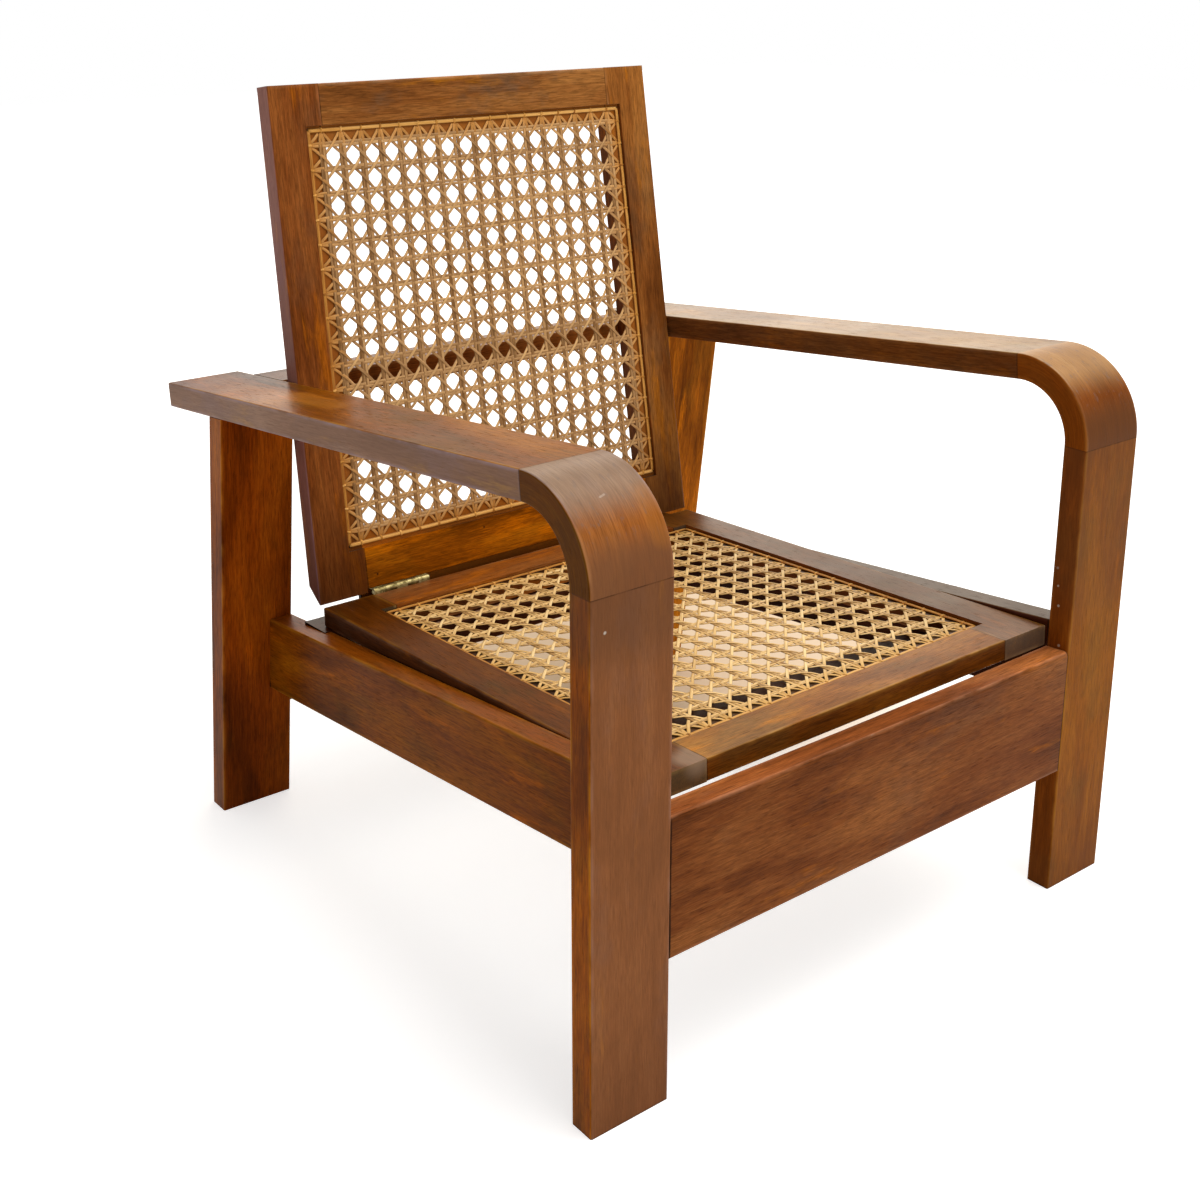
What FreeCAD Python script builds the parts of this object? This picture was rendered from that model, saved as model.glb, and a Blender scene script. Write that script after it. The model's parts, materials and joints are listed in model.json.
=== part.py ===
"""Planters chair: a low hardwood armchair with a sliding cane seat and a hinged cane back.

Millimetres, +Z up, origin on the floor under the middle of the chair.
The sitter faces -Y. Right and left are the sitter's, so right is -X.
Heights are taken from the floor, and depths from the front faces of the front legs.
"""
import FreeCAD, Part
import math
import os
from dataclasses import dataclass

# Overall
CHAIR_WIDTH = 680.0
CHAIR_DEPTH = 738.0
BOARD_WIDTH = 82.0
BOARD_THICKNESS = 26.0
ARRIS_RADIUS = 1.6
OVERCUT = 6.0

# Front legs, bent corners and arms
LEG_JOINT_HEIGHT = 474.0
CORNER_RADIUS = 80.0
ARM_SLOPE = math.radians(5.9)
DOWEL_RADIUS = 5.0
DOWEL_REACH = 20.0
DOWEL_INSET = 21.0

# Rear legs
ARM_OVERHANG = 64.5
REAR_LEG_RAKE = math.radians(7.5)
REAR_LEG_THICKNESS = 28.0
LEG_TENON_WIDTH = 42.0
LEG_TENON_THICKNESS = 12.0
LEG_TENON_REACH = 14.0

# Rails between the legs
TENON_THICKNESS = 10.0
TENON_SHOULDER = 12.0
SIDE_RAIL_HEIGHT = 85.0
SIDE_RAIL_FRONT_TOP = 293.0
SIDE_RAIL_TENON_REACH = 12.0
FRONT_RAIL_BOTTOM = 136.0
FRONT_RAIL_ARRIS = 267.1
FRONT_RAIL_FALL = 2.1
FRONT_RAIL_ROUNDING = 5.0
FRONT_RAIL_HOLLOW = 1.6
FRONT_RAIL_TENON_SETBACK = 4.0
FRONT_RAIL_TENON_THICKNESS = 8.0
CROSS_TENON_REACH = 20.0
STRETCHER_BOTTOM = 118.0
STRETCHER_HEIGHT = 38.0
STRETCHER_SETBACK = 1.0
REST_BAR_WIDTH = 68.0
REST_CLEARANCE = 0.3

# Bearers under the seat
BEARER_HOUSING = 8.0
FRONT_BEARER_DEPTH = 78.0
FRONT_BEARER_WIDTH = 68.0
FRONT_BEARER_THICKNESS = 20.0
REAR_BEARER_SETBACK = 18.0
REAR_BEARER_WIDTH = 45.0
REAR_BEARER_THICKNESS = 24.0

# Seat and back panels
SEAT_FRONT_DEPTH = 29.0
SEAT_FRONT_TOP = 286.6
SEAT_REAR_TOP = 259.6
SEAT_REAR_GAP = 103.5
SEAT_SIDE_GAP = 1.0
SEAT_THICKNESS = 21.0
SEAT_STILE_WIDTH = 62.0
SEAT_RAIL_WIDTH = 65.0
SEAT_SIDE_FACE = 43.0
SEAT_FRONT_FACE = 43.5
SEAT_REAR_FACE = 45.5
BACK_LENGTH = 540.0
BACK_SIDE_GAP = 0.5
BACK_TAPER = 21.0
BACK_THICKNESS = 23.0
BACK_STILE_WIDTH = 58.5
BACK_BOTTOM_RAIL_WIDTH = 66.5
BACK_TOP_RAIL_WIDTH = 62.5
BACK_SIDE_FACE = 40.5
BACK_BOTTOM_FACE = 45.5
BACK_TOP_FACE = 42.8
BACK_LEAN = math.radians(8.2)
BACK_STILE_DROP = 4.0
BACK_BEVEL_HEIGHT = 19.0
BACK_BEVEL_DEPTH = 21.0
BACK_LIP_DROP = 16.0
BACK_LIP_THICKNESS = 5.0
REBATE_DEPTH = 5.0
PANEL_TENON_THICKNESS = 8.0
PANEL_TENON_REACH = 32.0
PANEL_TENON_SHOULDER = 8.0

# Cane
CANE_CELLS = 16
CANE_THICKNESS = 2.0
CANE_HOLE_RADIUS = 2.8
CANE_HOLE_SETBACK = 14.8
GAP_WIDTH_SHARE = 0.6
GAP_HEIGHT_SHARE = 0.7
BINDING_WIDTH = 4.6
BINDING_THICKNESS = 1.2

# Butt hinges
HINGE_LENGTH = 70.0
HINGE_INSET = 63.0
HINGE_KNUCKLES = 5
KNUCKLE_GAP = 0.3
KNUCKLE_RADIUS = 3.4
HINGE_RISE = 2.2
PIN_RADIUS = 1.6
PIN_CLEARANCE = 0.05
LEAF_THICKNESS = 1.6
LEAF_DEPTH = 17.0
LEAF_TOP = 1.0
SCREWS_PER_LEAF = 3
SCREW_HEAD_RADIUS = 3.0
SCREW_RADIUS = 1.4
SCREW_LENGTH = 13.0

# Places worked out from the sizes above
OUTER_X = CHAIR_WIDTH / 2
INNER_X = OUTER_X - BOARD_WIDTH
RAIL_OUTER_X = INNER_X + BOARD_THICKNESS
REAR_FOOT_DEPTH = CHAIR_DEPTH - ARM_OVERHANG
SEAT_LENGTH = REAR_FOOT_DEPTH - SEAT_REAR_GAP - SEAT_FRONT_DEPTH
SEAT_WIDTH = 2 * (INNER_X - SEAT_SIDE_GAP)
BACK_FOOT_WIDTH = 2 * (INNER_X - BACK_SIDE_GAP)
HINGE_END = SEAT_WIDTH / 2 - HINGE_INSET
REAR_BEARER_DEPTH = SEAT_FRONT_DEPTH + SEAT_LENGTH - REAR_BEARER_SETBACK
SLOPE = math.tan(ARM_SLOPE)
RAKE = math.tan(REAR_LEG_RAKE)
ARM_START_DEPTH = CORNER_RADIUS * (1 + math.sin(ARM_SLOPE))
ARM_START_TOP = LEG_JOINT_HEIGHT + CORNER_RADIUS * math.cos(ARM_SLOPE)
ARM_TOP_AT_FRONT = ARM_START_TOP + ARM_START_DEPTH * SLOPE
ARM_BOTTOM_AT_FRONT = ARM_TOP_AT_FRONT - BOARD_THICKNESS / math.cos(ARM_SLOPE)
RAIL_TOP_AT_FRONT = SIDE_RAIL_FRONT_TOP + BOARD_THICKNESS * SLOPE
RAIL_BOTTOM_AT_FRONT = RAIL_TOP_AT_FRONT - SIDE_RAIL_HEIGHT
SEAT_SLOPE = math.asin((SEAT_FRONT_TOP - SEAT_REAR_TOP) / SEAT_LENGTH)


@dataclass
class Panel:
    """A tapered frame with a rebated opening: y runs from its foot, z from its face.

    Its stiles run past the foot by the drop.
    """

    foot_width: float
    head_width: float
    length: float
    thickness: float
    stile: float
    foot_rail: float
    head_rail: float
    side_face: float
    foot_face: float
    head_face: float
    drop: float

    def half_width(self, y):
        taper = (self.head_width - self.foot_width) / self.length
        return (self.foot_width + taper * y) / 2

    def band(self, y, inset):
        """The distance from the middle to a line inset from the outer edge."""
        return self.half_width(y) - inset

    def cell_height(self):
        return (self.length - self.foot_rail - self.head_rail) / CANE_CELLS

    def cell_place(self, column, row):
        """Where a column line of the weave crosses a row line, counted from the opening's corner."""
        y = self.foot_rail + row * self.cell_height()
        return (2 * column / CANE_CELLS - 1) * self.band(y, self.stile), y


SEAT = Panel(SEAT_WIDTH, SEAT_WIDTH, SEAT_LENGTH, SEAT_THICKNESS, SEAT_STILE_WIDTH,
             SEAT_RAIL_WIDTH, SEAT_RAIL_WIDTH, SEAT_SIDE_FACE, SEAT_FRONT_FACE, SEAT_REAR_FACE, 0)
BACK = Panel(BACK_FOOT_WIDTH, BACK_FOOT_WIDTH - BACK_TAPER, BACK_LENGTH, BACK_THICKNESS,
             BACK_STILE_WIDTH, BACK_BOTTOM_RAIL_WIDTH, BACK_TOP_RAIL_WIDTH, BACK_SIDE_FACE,
             BACK_BOTTOM_FACE, BACK_TOP_FACE, BACK_STILE_DROP)

SEAT_UNDERSIDE_AT_FRONT = (SEAT_FRONT_TOP + SEAT_FRONT_DEPTH * math.tan(SEAT_SLOPE)
                           - SEAT.thickness / math.cos(SEAT_SLOPE))
SEAT_AXIS = SEAT_LENGTH + KNUCKLE_RADIUS
AXIS_DEPTH = (SEAT_FRONT_DEPTH + SEAT_AXIS * math.cos(SEAT_SLOPE)
              + HINGE_RISE * math.sin(SEAT_SLOPE))
AXIS_HEIGHT = (SEAT_FRONT_TOP - SEAT_AXIS * math.sin(SEAT_SLOPE)
               + HINGE_RISE * math.cos(SEAT_SLOPE))
REST_BAR_DEPTH = ((HINGE_RISE + BACK.thickness + REST_CLEARANCE + AXIS_DEPTH * math.cos(BACK_LEAN)
                   + (ARM_TOP_AT_FRONT - AXIS_HEIGHT) * math.sin(BACK_LEAN))
                  / (math.cos(BACK_LEAN) + SLOPE * math.sin(BACK_LEAN)))


def vector(x, y, z):
    return FreeCAD.Vector(x, y, z)


def prism_x(outline, x_start, x_end):
    """A straight prism along X from an outline of (y, z) points."""
    points = [vector(x_start, y, z) for y, z in outline]
    face = Part.Face(Part.makePolygon(points + points[:1]))
    return face.extrude(vector(x_end - x_start, 0, 0))


def prism_z(outline, z_start, z_end):
    """A straight prism along Z from an outline of (x, y) points."""
    points = [vector(x, y, z_start) for x, y in outline]
    face = Part.Face(Part.makePolygon(points + points[:1]))
    return face.extrude(vector(0, 0, z_end - z_start))


def block(x_range, y_range, z_range):
    low = vector(x_range[0], y_range[0], z_range[0])
    size = vector(x_range[1], y_range[1], z_range[1]) - low
    return Part.makeBox(size.x, size.y, size.z, low)


def mirrored(shape):
    """The same piece on the other side of the chair."""
    return shape.mirror(vector(0, 0, 0), vector(1, 0, 0))


def soften(shape, direction, keep=None):
    """Round the straight edges that run along a direction, as worn arrises are."""
    unit = FreeCAD.Vector(direction).normalize()
    edges = []
    for edge in shape.Edges:
        if not isinstance(edge.Curve, Part.Line):
            continue
        along = edge.tangentAt(edge.FirstParameter).dot(unit)
        if abs(along) > math.cos(math.radians(2)) and (keep is None or keep(edge.CenterOfMass)):
            edges.append(edge)
    return shape.makeFillet(ARRIS_RADIUS, edges)


def slope_meets_rake(slope_height, foot_depth):
    """Where a line parallel to the arm crosses a line parallel to the rear leg."""
    z = (slope_height - foot_depth * SLOPE) / (1 - SLOPE * RAKE)
    return (foot_depth - z * RAKE, z)


def board_outline(corner, angle, length, thickness):
    """The (y, z) outline of a board that falls to the rear by an angle, from its top front corner."""
    along = (math.cos(angle), -math.sin(angle))
    down = (-math.sin(angle), -math.cos(angle))
    steps = [(0, 0), (length, 0), (length, thickness), (0, thickness)]
    return [(corner[0] + along[0] * a + down[0] * b, corner[1] + along[1] * a + down[1] * b)
            for a, b in steps]


def arm_top(y):
    return ARM_TOP_AT_FRONT - y * SLOPE


def seat_underside(y):
    return SEAT_UNDERSIDE_AT_FRONT - y * math.tan(SEAT_SLOPE)


def front_leg():
    leg = block((INNER_X, OUTER_X), (0, BOARD_THICKNESS), (0, LEG_JOINT_HEIGHT))
    return soften(leg, vector(0, 0, 1))


def arm_corner():
    """The bent block between leg and arm, a ring sector as wide as the boards."""
    centre = vector(INNER_X, CORNER_RADIUS, LEG_JOINT_HEIGHT)
    end = math.pi / 2 - ARM_SLOPE
    middle = (math.pi + end) / 2

    def point(radius, angle):
        return centre + vector(0, radius * math.cos(angle), radius * math.sin(angle))

    outer, inner = CORNER_RADIUS, CORNER_RADIUS - BOARD_THICKNESS
    edges = [
        Part.Arc(point(outer, math.pi), point(outer, middle), point(outer, end)).toShape(),
        Part.LineSegment(point(outer, end), point(inner, end)).toShape(),
        Part.Arc(point(inner, end), point(inner, middle), point(inner, math.pi)).toShape(),
        Part.LineSegment(point(inner, math.pi), point(outer, math.pi)).toShape(),
    ]
    corner = Part.Face(Part.Wire(edges)).extrude(vector(BOARD_WIDTH, 0, 0))
    bends = [edge for edge in corner.Edges if isinstance(edge.Curve, Part.Circle)]
    return corner.makeFillet(ARRIS_RADIUS, bends)


def arm():
    length = (CHAIR_DEPTH - ARM_START_DEPTH) / math.cos(ARM_SLOPE)
    outline = board_outline((ARM_START_DEPTH, ARM_START_TOP), ARM_SLOPE, length, BOARD_THICKNESS)
    board = prism_x(outline, INNER_X, OUTER_X)
    board = soften(board, vector(0, math.cos(ARM_SLOPE), -math.sin(ARM_SLOPE)))
    return soften(board, vector(1, 0, 0), lambda middle: middle.y > CHAIR_DEPTH - BOARD_THICKNESS)


def corner_dowels():
    """Two pegs across each glue line of a corner block."""
    mid = CORNER_RADIUS - BOARD_THICKNESS / 2
    down_arm = vector(0, math.cos(ARM_SLOPE), -math.sin(ARM_SLOPE))
    joints = [
        (vector(0, BOARD_THICKNESS / 2, LEG_JOINT_HEIGHT), vector(0, 0, 1)),
        (vector(0, CORNER_RADIUS + mid * math.sin(ARM_SLOPE),
                LEG_JOINT_HEIGHT + mid * math.cos(ARM_SLOPE)), down_arm),
    ]
    pegs = []
    for centre, direction in joints:
        for x in (INNER_X + DOWEL_INSET, OUTER_X - DOWEL_INSET):
            start = centre + vector(x, 0, 0) - direction * DOWEL_REACH
            pegs.append(Part.makeCylinder(DOWEL_RADIUS, 2 * DOWEL_REACH, start, direction))
    return pegs


def rear_leg():
    """A raked board whose top is cut to the underside of the arm, with a tenon into it."""
    step = REAR_LEG_THICKNESS / math.cos(REAR_LEG_RAKE)
    front_top = slope_meets_rake(ARM_BOTTOM_AT_FRONT, REAR_FOOT_DEPTH)
    rear_top = slope_meets_rake(ARM_BOTTOM_AT_FRONT, REAR_FOOT_DEPTH + step)
    outline = [(REAR_FOOT_DEPTH, 0), (REAR_FOOT_DEPTH + step, 0), rear_top, front_top]
    leg = soften(prism_x(outline, INNER_X, OUTER_X),
                 vector(0, -math.sin(REAR_LEG_RAKE), math.cos(REAR_LEG_RAKE)))
    return leg, rear_leg_tenon(front_top, rear_top)


def rear_leg_tenon(front_top, rear_top):
    middle = ((front_top[0] + rear_top[0]) / 2, (front_top[1] + rear_top[1]) / 2)
    half = LEG_TENON_THICKNESS / 2
    corner = (middle[0] - half * math.cos(ARM_SLOPE) + LEG_TENON_REACH * math.sin(ARM_SLOPE),
              middle[1] + half * math.sin(ARM_SLOPE) + LEG_TENON_REACH * math.cos(ARM_SLOPE))
    outline = board_outline(corner, ARM_SLOPE, LEG_TENON_THICKNESS, LEG_TENON_REACH + OVERCUT)
    centre = (INNER_X + OUTER_X) / 2
    return prism_x(outline, centre - LEG_TENON_WIDTH / 2, centre + LEG_TENON_WIDTH / 2)


def rail_outline(front_depth, rear_foot, trim):
    """The outline of a side rail, or of its tenons when trimmed and lengthened."""
    top = RAIL_TOP_AT_FRONT - trim
    bottom = RAIL_BOTTOM_AT_FRONT + trim
    return [(front_depth, bottom - front_depth * SLOPE), slope_meets_rake(bottom, rear_foot),
            slope_meets_rake(top, rear_foot), (front_depth, top - front_depth * SLOPE)]


def side_rail():
    board = prism_x(rail_outline(BOARD_THICKNESS, REAR_FOOT_DEPTH, 0), INNER_X, RAIL_OUTER_X)
    board = soften(board, vector(0, math.cos(ARM_SLOPE), -math.sin(ARM_SLOPE)))
    middle = (INNER_X + RAIL_OUTER_X) / 2
    tenons = prism_x(
        rail_outline(BOARD_THICKNESS - SIDE_RAIL_TENON_REACH,
                     REAR_FOOT_DEPTH + SIDE_RAIL_TENON_REACH, TENON_SHOULDER),
        middle - TENON_THICKNESS / 2, middle + TENON_THICKNESS / 2)
    return board, tenons


def front_rail():
    """The deep rail under the sitter's knees: its top falls to the rear and is worn hollow."""
    rear_top = FRONT_RAIL_ARRIS - FRONT_RAIL_FALL
    outline = [(0, FRONT_RAIL_BOTTOM), (BOARD_THICKNESS, FRONT_RAIL_BOTTOM),
               (BOARD_THICKNESS, rear_top), (0, FRONT_RAIL_ARRIS)]
    rail = prism_x(outline, -INNER_X, INNER_X)
    rail = soften(rail, vector(1, 0, 0), lambda middle: middle.z < FRONT_RAIL_BOTTOM + OVERCUT)
    rail = rail.makeFillet(FRONT_RAIL_ROUNDING, [top_front_edge(rail)])
    rail = rail.cut(front_rail_hollow())
    tenons = block((-INNER_X - CROSS_TENON_REACH, INNER_X + CROSS_TENON_REACH),
                   (FRONT_RAIL_TENON_SETBACK, FRONT_RAIL_TENON_SETBACK + FRONT_RAIL_TENON_THICKNESS),
                   (FRONT_RAIL_BOTTOM + TENON_SHOULDER, rear_top - TENON_SHOULDER))
    return rail, tenons


def top_front_edge(board):
    """The long edge of a board that is both high and near the sitter's knees."""
    level = [edge for edge in board.Edges
             if isinstance(edge.Curve, Part.Line) and edge.Length > INNER_X]
    return max(level, key=lambda edge: edge.CenterOfMass.z - edge.CenterOfMass.y)


def front_rail_hollow():
    """The wood worn away above the middle of the front rail."""
    left = vector(INNER_X, 0, FRONT_RAIL_ARRIS)
    right = vector(-INNER_X, 0, FRONT_RAIL_ARRIS)
    lowest = vector(0, 0, FRONT_RAIL_ARRIS - FRONT_RAIL_HOLLOW)
    up = vector(0, 0, OVERCUT)
    edges = [
        Part.Arc(right, lowest, left).toShape(),
        Part.LineSegment(left, left + up).toShape(),
        Part.LineSegment(left + up, right + up).toShape(),
        Part.LineSegment(right + up, right).toShape(),
    ]
    direction = vector(0, BOARD_THICKNESS, -FRONT_RAIL_FALL)
    face = Part.Face(Part.Wire(edges))
    face.translate(direction * -1)
    return face.extrude(direction * 3)


def cross_board(outline, tenon_outline):
    """A board from side to side with a tenon at each end."""
    board = prism_x(outline, -INNER_X, INNER_X)
    reach = INNER_X + CROSS_TENON_REACH
    return soften(board, vector(1, 0, 0)), prism_x(tenon_outline, -reach, reach)


def back_rest_bar():
    """The bar that the back leans on, level with the arms."""
    corner = (REST_BAR_DEPTH, arm_top(REST_BAR_DEPTH))
    outline = board_outline(corner, ARM_SLOPE, REST_BAR_WIDTH, BOARD_THICKNESS)
    side = (BOARD_THICKNESS - TENON_THICKNESS) / 2
    inner = board_outline(corner, ARM_SLOPE, TENON_SHOULDER, side)[2]
    tenon = board_outline(inner, ARM_SLOPE, REST_BAR_WIDTH - 2 * TENON_SHOULDER, TENON_THICKNESS)
    return cross_board(outline, tenon)


def rear_stretcher():
    """The low stretcher between the rear legs, raked as they are."""
    thickness = REAR_LEG_THICKNESS - 2 * STRETCHER_SETBACK
    setback = STRETCHER_SETBACK / math.cos(REAR_LEG_RAKE)
    top = STRETCHER_BOTTOM + STRETCHER_HEIGHT
    corner = (REAR_FOOT_DEPTH - top * RAKE + setback, top)
    outline = board_outline(corner, -REAR_LEG_RAKE, thickness, STRETCHER_HEIGHT)
    side = (thickness - TENON_THICKNESS) / 2
    inner = board_outline(corner, -REAR_LEG_RAKE, side, PANEL_TENON_SHOULDER)[2]
    tenon = board_outline(inner, -REAR_LEG_RAKE, TENON_THICKNESS,
                          STRETCHER_HEIGHT - 2 * PANEL_TENON_SHOULDER)
    return cross_board(outline, tenon)


def seat_bearer(depth, width, thickness):
    """A flat board under the seat, housed in both side rails."""
    outline = board_outline((depth, seat_underside(depth)), SEAT_SLOPE, width, thickness)
    reach = INNER_X + BEARER_HOUSING
    return prism_x(outline, -reach, reach)


def build_frame():
    """Every piece of the standing frame, by name, with its joints cut."""
    corner, arm_board, leg = arm_corner(), arm(), front_leg()
    rear, rear_tenon = rear_leg()
    rail, rail_tenons = side_rail()
    front, front_tenons = front_rail()
    rest, rest_tenons = back_rest_bar()
    stretcher, stretcher_tenons = rear_stretcher()
    bearers = {
        "front_seat_bearer": seat_bearer(FRONT_BEARER_DEPTH, FRONT_BEARER_WIDTH,
                                         FRONT_BEARER_THICKNESS),
        "rear_seat_bearer": seat_bearer(REAR_BEARER_DEPTH, REAR_BEARER_WIDTH,
                                        REAR_BEARER_THICKNESS),
    }
    pegs = corner_dowels()
    left = {
        "front_leg": leg.cut([rail_tenons, front_tenons] + pegs),
        "arm_corner": corner.cut(pegs),
        "arm": arm_board.cut([rear_tenon, rest_tenons] + pegs),
        "rear_leg": rear.fuse(rear_tenon).cut([rail_tenons, stretcher_tenons]),
        "side_rail": rail.fuse(rail_tenons).cut(list(bearers.values())),
        "corner_dowels": Part.makeCompound(pegs),
    }
    pieces = {}
    for name, shape in left.items():
        pieces["left_" + name] = shape
        pieces["right_" + name] = mirrored(shape)
    pieces["front_rail"] = front.fuse(front_tenons)
    pieces["back_rest_bar"] = rest.fuse(rest_tenons)
    pieces["rear_stretcher"] = stretcher.fuse(stretcher_tenons)
    pieces.update(bearers)
    return pieces


def panel_stile(panel):
    """The full-length board on the left side of a panel."""
    foot, head = -panel.drop, panel.length
    outline = [(panel.band(foot, panel.stile), foot), (panel.half_width(foot), foot),
               (panel.half_width(head), head), (panel.band(head, panel.stile), head)]
    stile = prism_z(outline, -panel.thickness, 0)
    edge_direction = vector(outline[2][0] - outline[1][0], head - foot, 0)
    return soften(stile, edge_direction, lambda middle: middle.x > panel.band(middle.y, panel.stile / 2))


def panel_rail(panel, y_start, y_end, outer_y):
    """A board between the stiles: its shoulders follow the taper of the panel."""
    start, end = panel.band(y_start, panel.stile), panel.band(y_end, panel.stile)
    outline = [(-start, y_start), (start, y_start), (end, y_end), (-end, y_end)]
    rail = prism_z(outline, -panel.thickness, 0)
    return soften(rail, vector(1, 0, 0), lambda middle: abs(middle.y - outer_y) < OVERCUT)


def panel_tenons(panel, y_start, y_end):
    """The tenons of a rail, in one strip that runs through it."""
    reach = panel.band((y_start + y_end) / 2, panel.stile) + PANEL_TENON_REACH
    middle = -(REBATE_DEPTH + panel.thickness) / 2
    return block((-reach, reach), (y_start + PANEL_TENON_SHOULDER, y_end - PANEL_TENON_SHOULDER),
                 (middle - PANEL_TENON_THICKNESS / 2, middle + PANEL_TENON_THICKNESS / 2))


def panel_rebate(panel):
    """The recess that the cane lies in, cut from the face round the opening."""
    foot = panel.foot_face
    head = panel.length - panel.head_face
    start, end = panel.band(foot, panel.side_face), panel.band(head, panel.side_face)
    return prism_z([(-start, foot), (start, foot), (end, head), (-end, head)],
                   -REBATE_DEPTH, OVERCUT)


def hole_line(panel, offset):
    """The four corners of the line through the holes, moved outwards by an offset."""
    reach = CANE_HOLE_SETBACK + offset
    low, high = panel.foot_rail - reach, panel.length - panel.head_rail + reach
    low_x, high_x = panel.band(low, panel.stile) + reach, panel.band(high, panel.stile) + reach
    return [(-low_x, low), (low_x, low), (high_x, high), (-high_x, high)]


def cane_holes(panel):
    """The drilled holes round the opening that the strands are tied through."""
    corners = hole_line(panel, 0)
    places = list(corners)
    for step in range(CANE_CELLS + 1):
        y = panel.cell_place(step, step)[1]
        half = panel.band(y, panel.stile) + CANE_HOLE_SETBACK
        places += [(-half, y), (half, y)]
        for edge in (corners[0][1], corners[2][1]):
            places.append(((2 * step / CANE_CELLS - 1) * panel.band(edge, panel.stile), edge))
    holes = []
    for x, y in places:
        low = vector(x, y, -panel.thickness - OVERCUT)
        holes.append(Part.makeCylinder(CANE_HOLE_RADIUS, panel.thickness + OVERCUT, low))
    return Part.makeCompound(holes)


def panel_boards(panel):
    """Both stiles and both rails of a panel, rebated and drilled for the cane."""
    length = panel.length
    rebate, holes = panel_rebate(panel), cane_holes(panel)
    foot_tenons = panel_tenons(panel, 0, panel.foot_rail)
    head_tenons = panel_tenons(panel, length - panel.head_rail, length)
    stile = panel_stile(panel).cut([rebate, foot_tenons, head_tenons])
    foot = panel_rail(panel, 0, panel.foot_rail, 0).cut(rebate).fuse(foot_tenons)
    head = panel_rail(panel, length - panel.head_rail, length, length).cut(rebate).fuse(head_tenons)
    return stile.cut(holes), foot.cut(holes), head.cut(holes)


def closed_wire(outline, z):
    points = [vector(x, y, z) for x, y in outline]
    return Part.makePolygon(points + points[:1])


def cane_gap(x, y, half_width, half_height):
    """A six-sided gap between the woven strands."""
    shoulder = half_width / 2
    corners = [(half_width, 0), (shoulder, half_height), (-shoulder, half_height),
               (-half_width, 0), (-shoulder, -half_height), (shoulder, -half_height)]
    return closed_wire([(x + dx, y + dy) for dx, dy in corners], -REBATE_DEPTH)


def cane_net(panel):
    """The woven sheet: one holed face that lies on the ledge of the rebate."""
    wires = [closed_wire(hole_line(panel, BINDING_WIDTH / 2), -REBATE_DEPTH)]
    half_height = panel.cell_height() * GAP_HEIGHT_SHARE / 2
    for row in range(CANE_CELLS):
        y = panel.cell_place(0, row + 0.5)[1]
        half_width = panel.band(y, panel.stile) / CANE_CELLS * GAP_WIDTH_SHARE
        for column in range(CANE_CELLS):
            x = panel.cell_place(column + 0.5, row + 0.5)[0]
            wires.append(cane_gap(x, y, half_width, half_height))
    return Part.Face(wires).extrude(vector(0, 0, CANE_THICKNESS))


def cane_binding(panel):
    """The strip of binding cane laid over the holes, all round the net."""
    low = CANE_THICKNESS - REBATE_DEPTH
    wires = [closed_wire(hole_line(panel, BINDING_WIDTH / 2), low),
             closed_wire(hole_line(panel, -BINDING_WIDTH / 2), low)]
    return Part.Face(wires).extrude(vector(0, 0, BINDING_THICKNESS))


def hinge_leaf(edge, outward, own_knuckles):
    """A brass leaf on the end of a panel, with its screws: the left hinge, in panel coordinates."""
    x_end, x_start = HINGE_END, HINGE_END - HINGE_LENGTH
    axis = vector(0, edge + outward * KNUCKLE_RADIUS, HINGE_RISE)
    face_y = sorted((edge, edge + outward * LEAF_THICKNESS))
    leaf = block((x_start, x_end), face_y, (-LEAF_DEPTH, -LEAF_TOP))
    step = HINGE_LENGTH / HINGE_KNUCKLES
    for index in own_knuckles:
        low = x_start + index * step + KNUCKLE_GAP / 2
        high = low + step - KNUCKLE_GAP
        web = block((low, high), face_y, (-LEAF_TOP, HINGE_RISE))
        barrel = Part.makeCylinder(KNUCKLE_RADIUS, high - low, axis + vector(low, 0, 0),
                                   vector(1, 0, 0))
        leaf = leaf.fuse([web, barrel])
    bore = Part.makeCylinder(PIN_RADIUS + PIN_CLEARANCE, HINGE_LENGTH,
                             axis + vector(x_start, 0, 0), vector(1, 0, 0))
    screws = leaf_screws(edge, outward, x_start)
    return leaf.cut([bore] + screws).removeSplitter(), screws


def leaf_screws(edge, outward, x_start):
    """Countersunk screws, flush with the leaf and driven into the end of the panel."""
    surface = edge + outward * LEAF_THICKNESS
    middle = -(LEAF_DEPTH + LEAF_TOP) / 2
    inward = vector(0, -outward, 0)
    screws = []
    for index in range(SCREWS_PER_LEAF):
        x = x_start + (index + 0.5) * HINGE_LENGTH / SCREWS_PER_LEAF
        place = vector(x, surface, middle)
        head = Part.makeCone(SCREW_HEAD_RADIUS, SCREW_RADIUS, LEAF_THICKNESS, place, inward)
        shank = Part.makeCylinder(SCREW_RADIUS, SCREW_LENGTH, place, inward)
        screws.append(head.fuse(shank).removeSplitter())
    return screws


def hinge_pin(edge):
    start = vector(HINGE_END - HINGE_LENGTH, edge, HINGE_RISE)
    return Part.makeCylinder(PIN_RADIUS, HINGE_LENGTH, start, vector(1, 0, 0))


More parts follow.
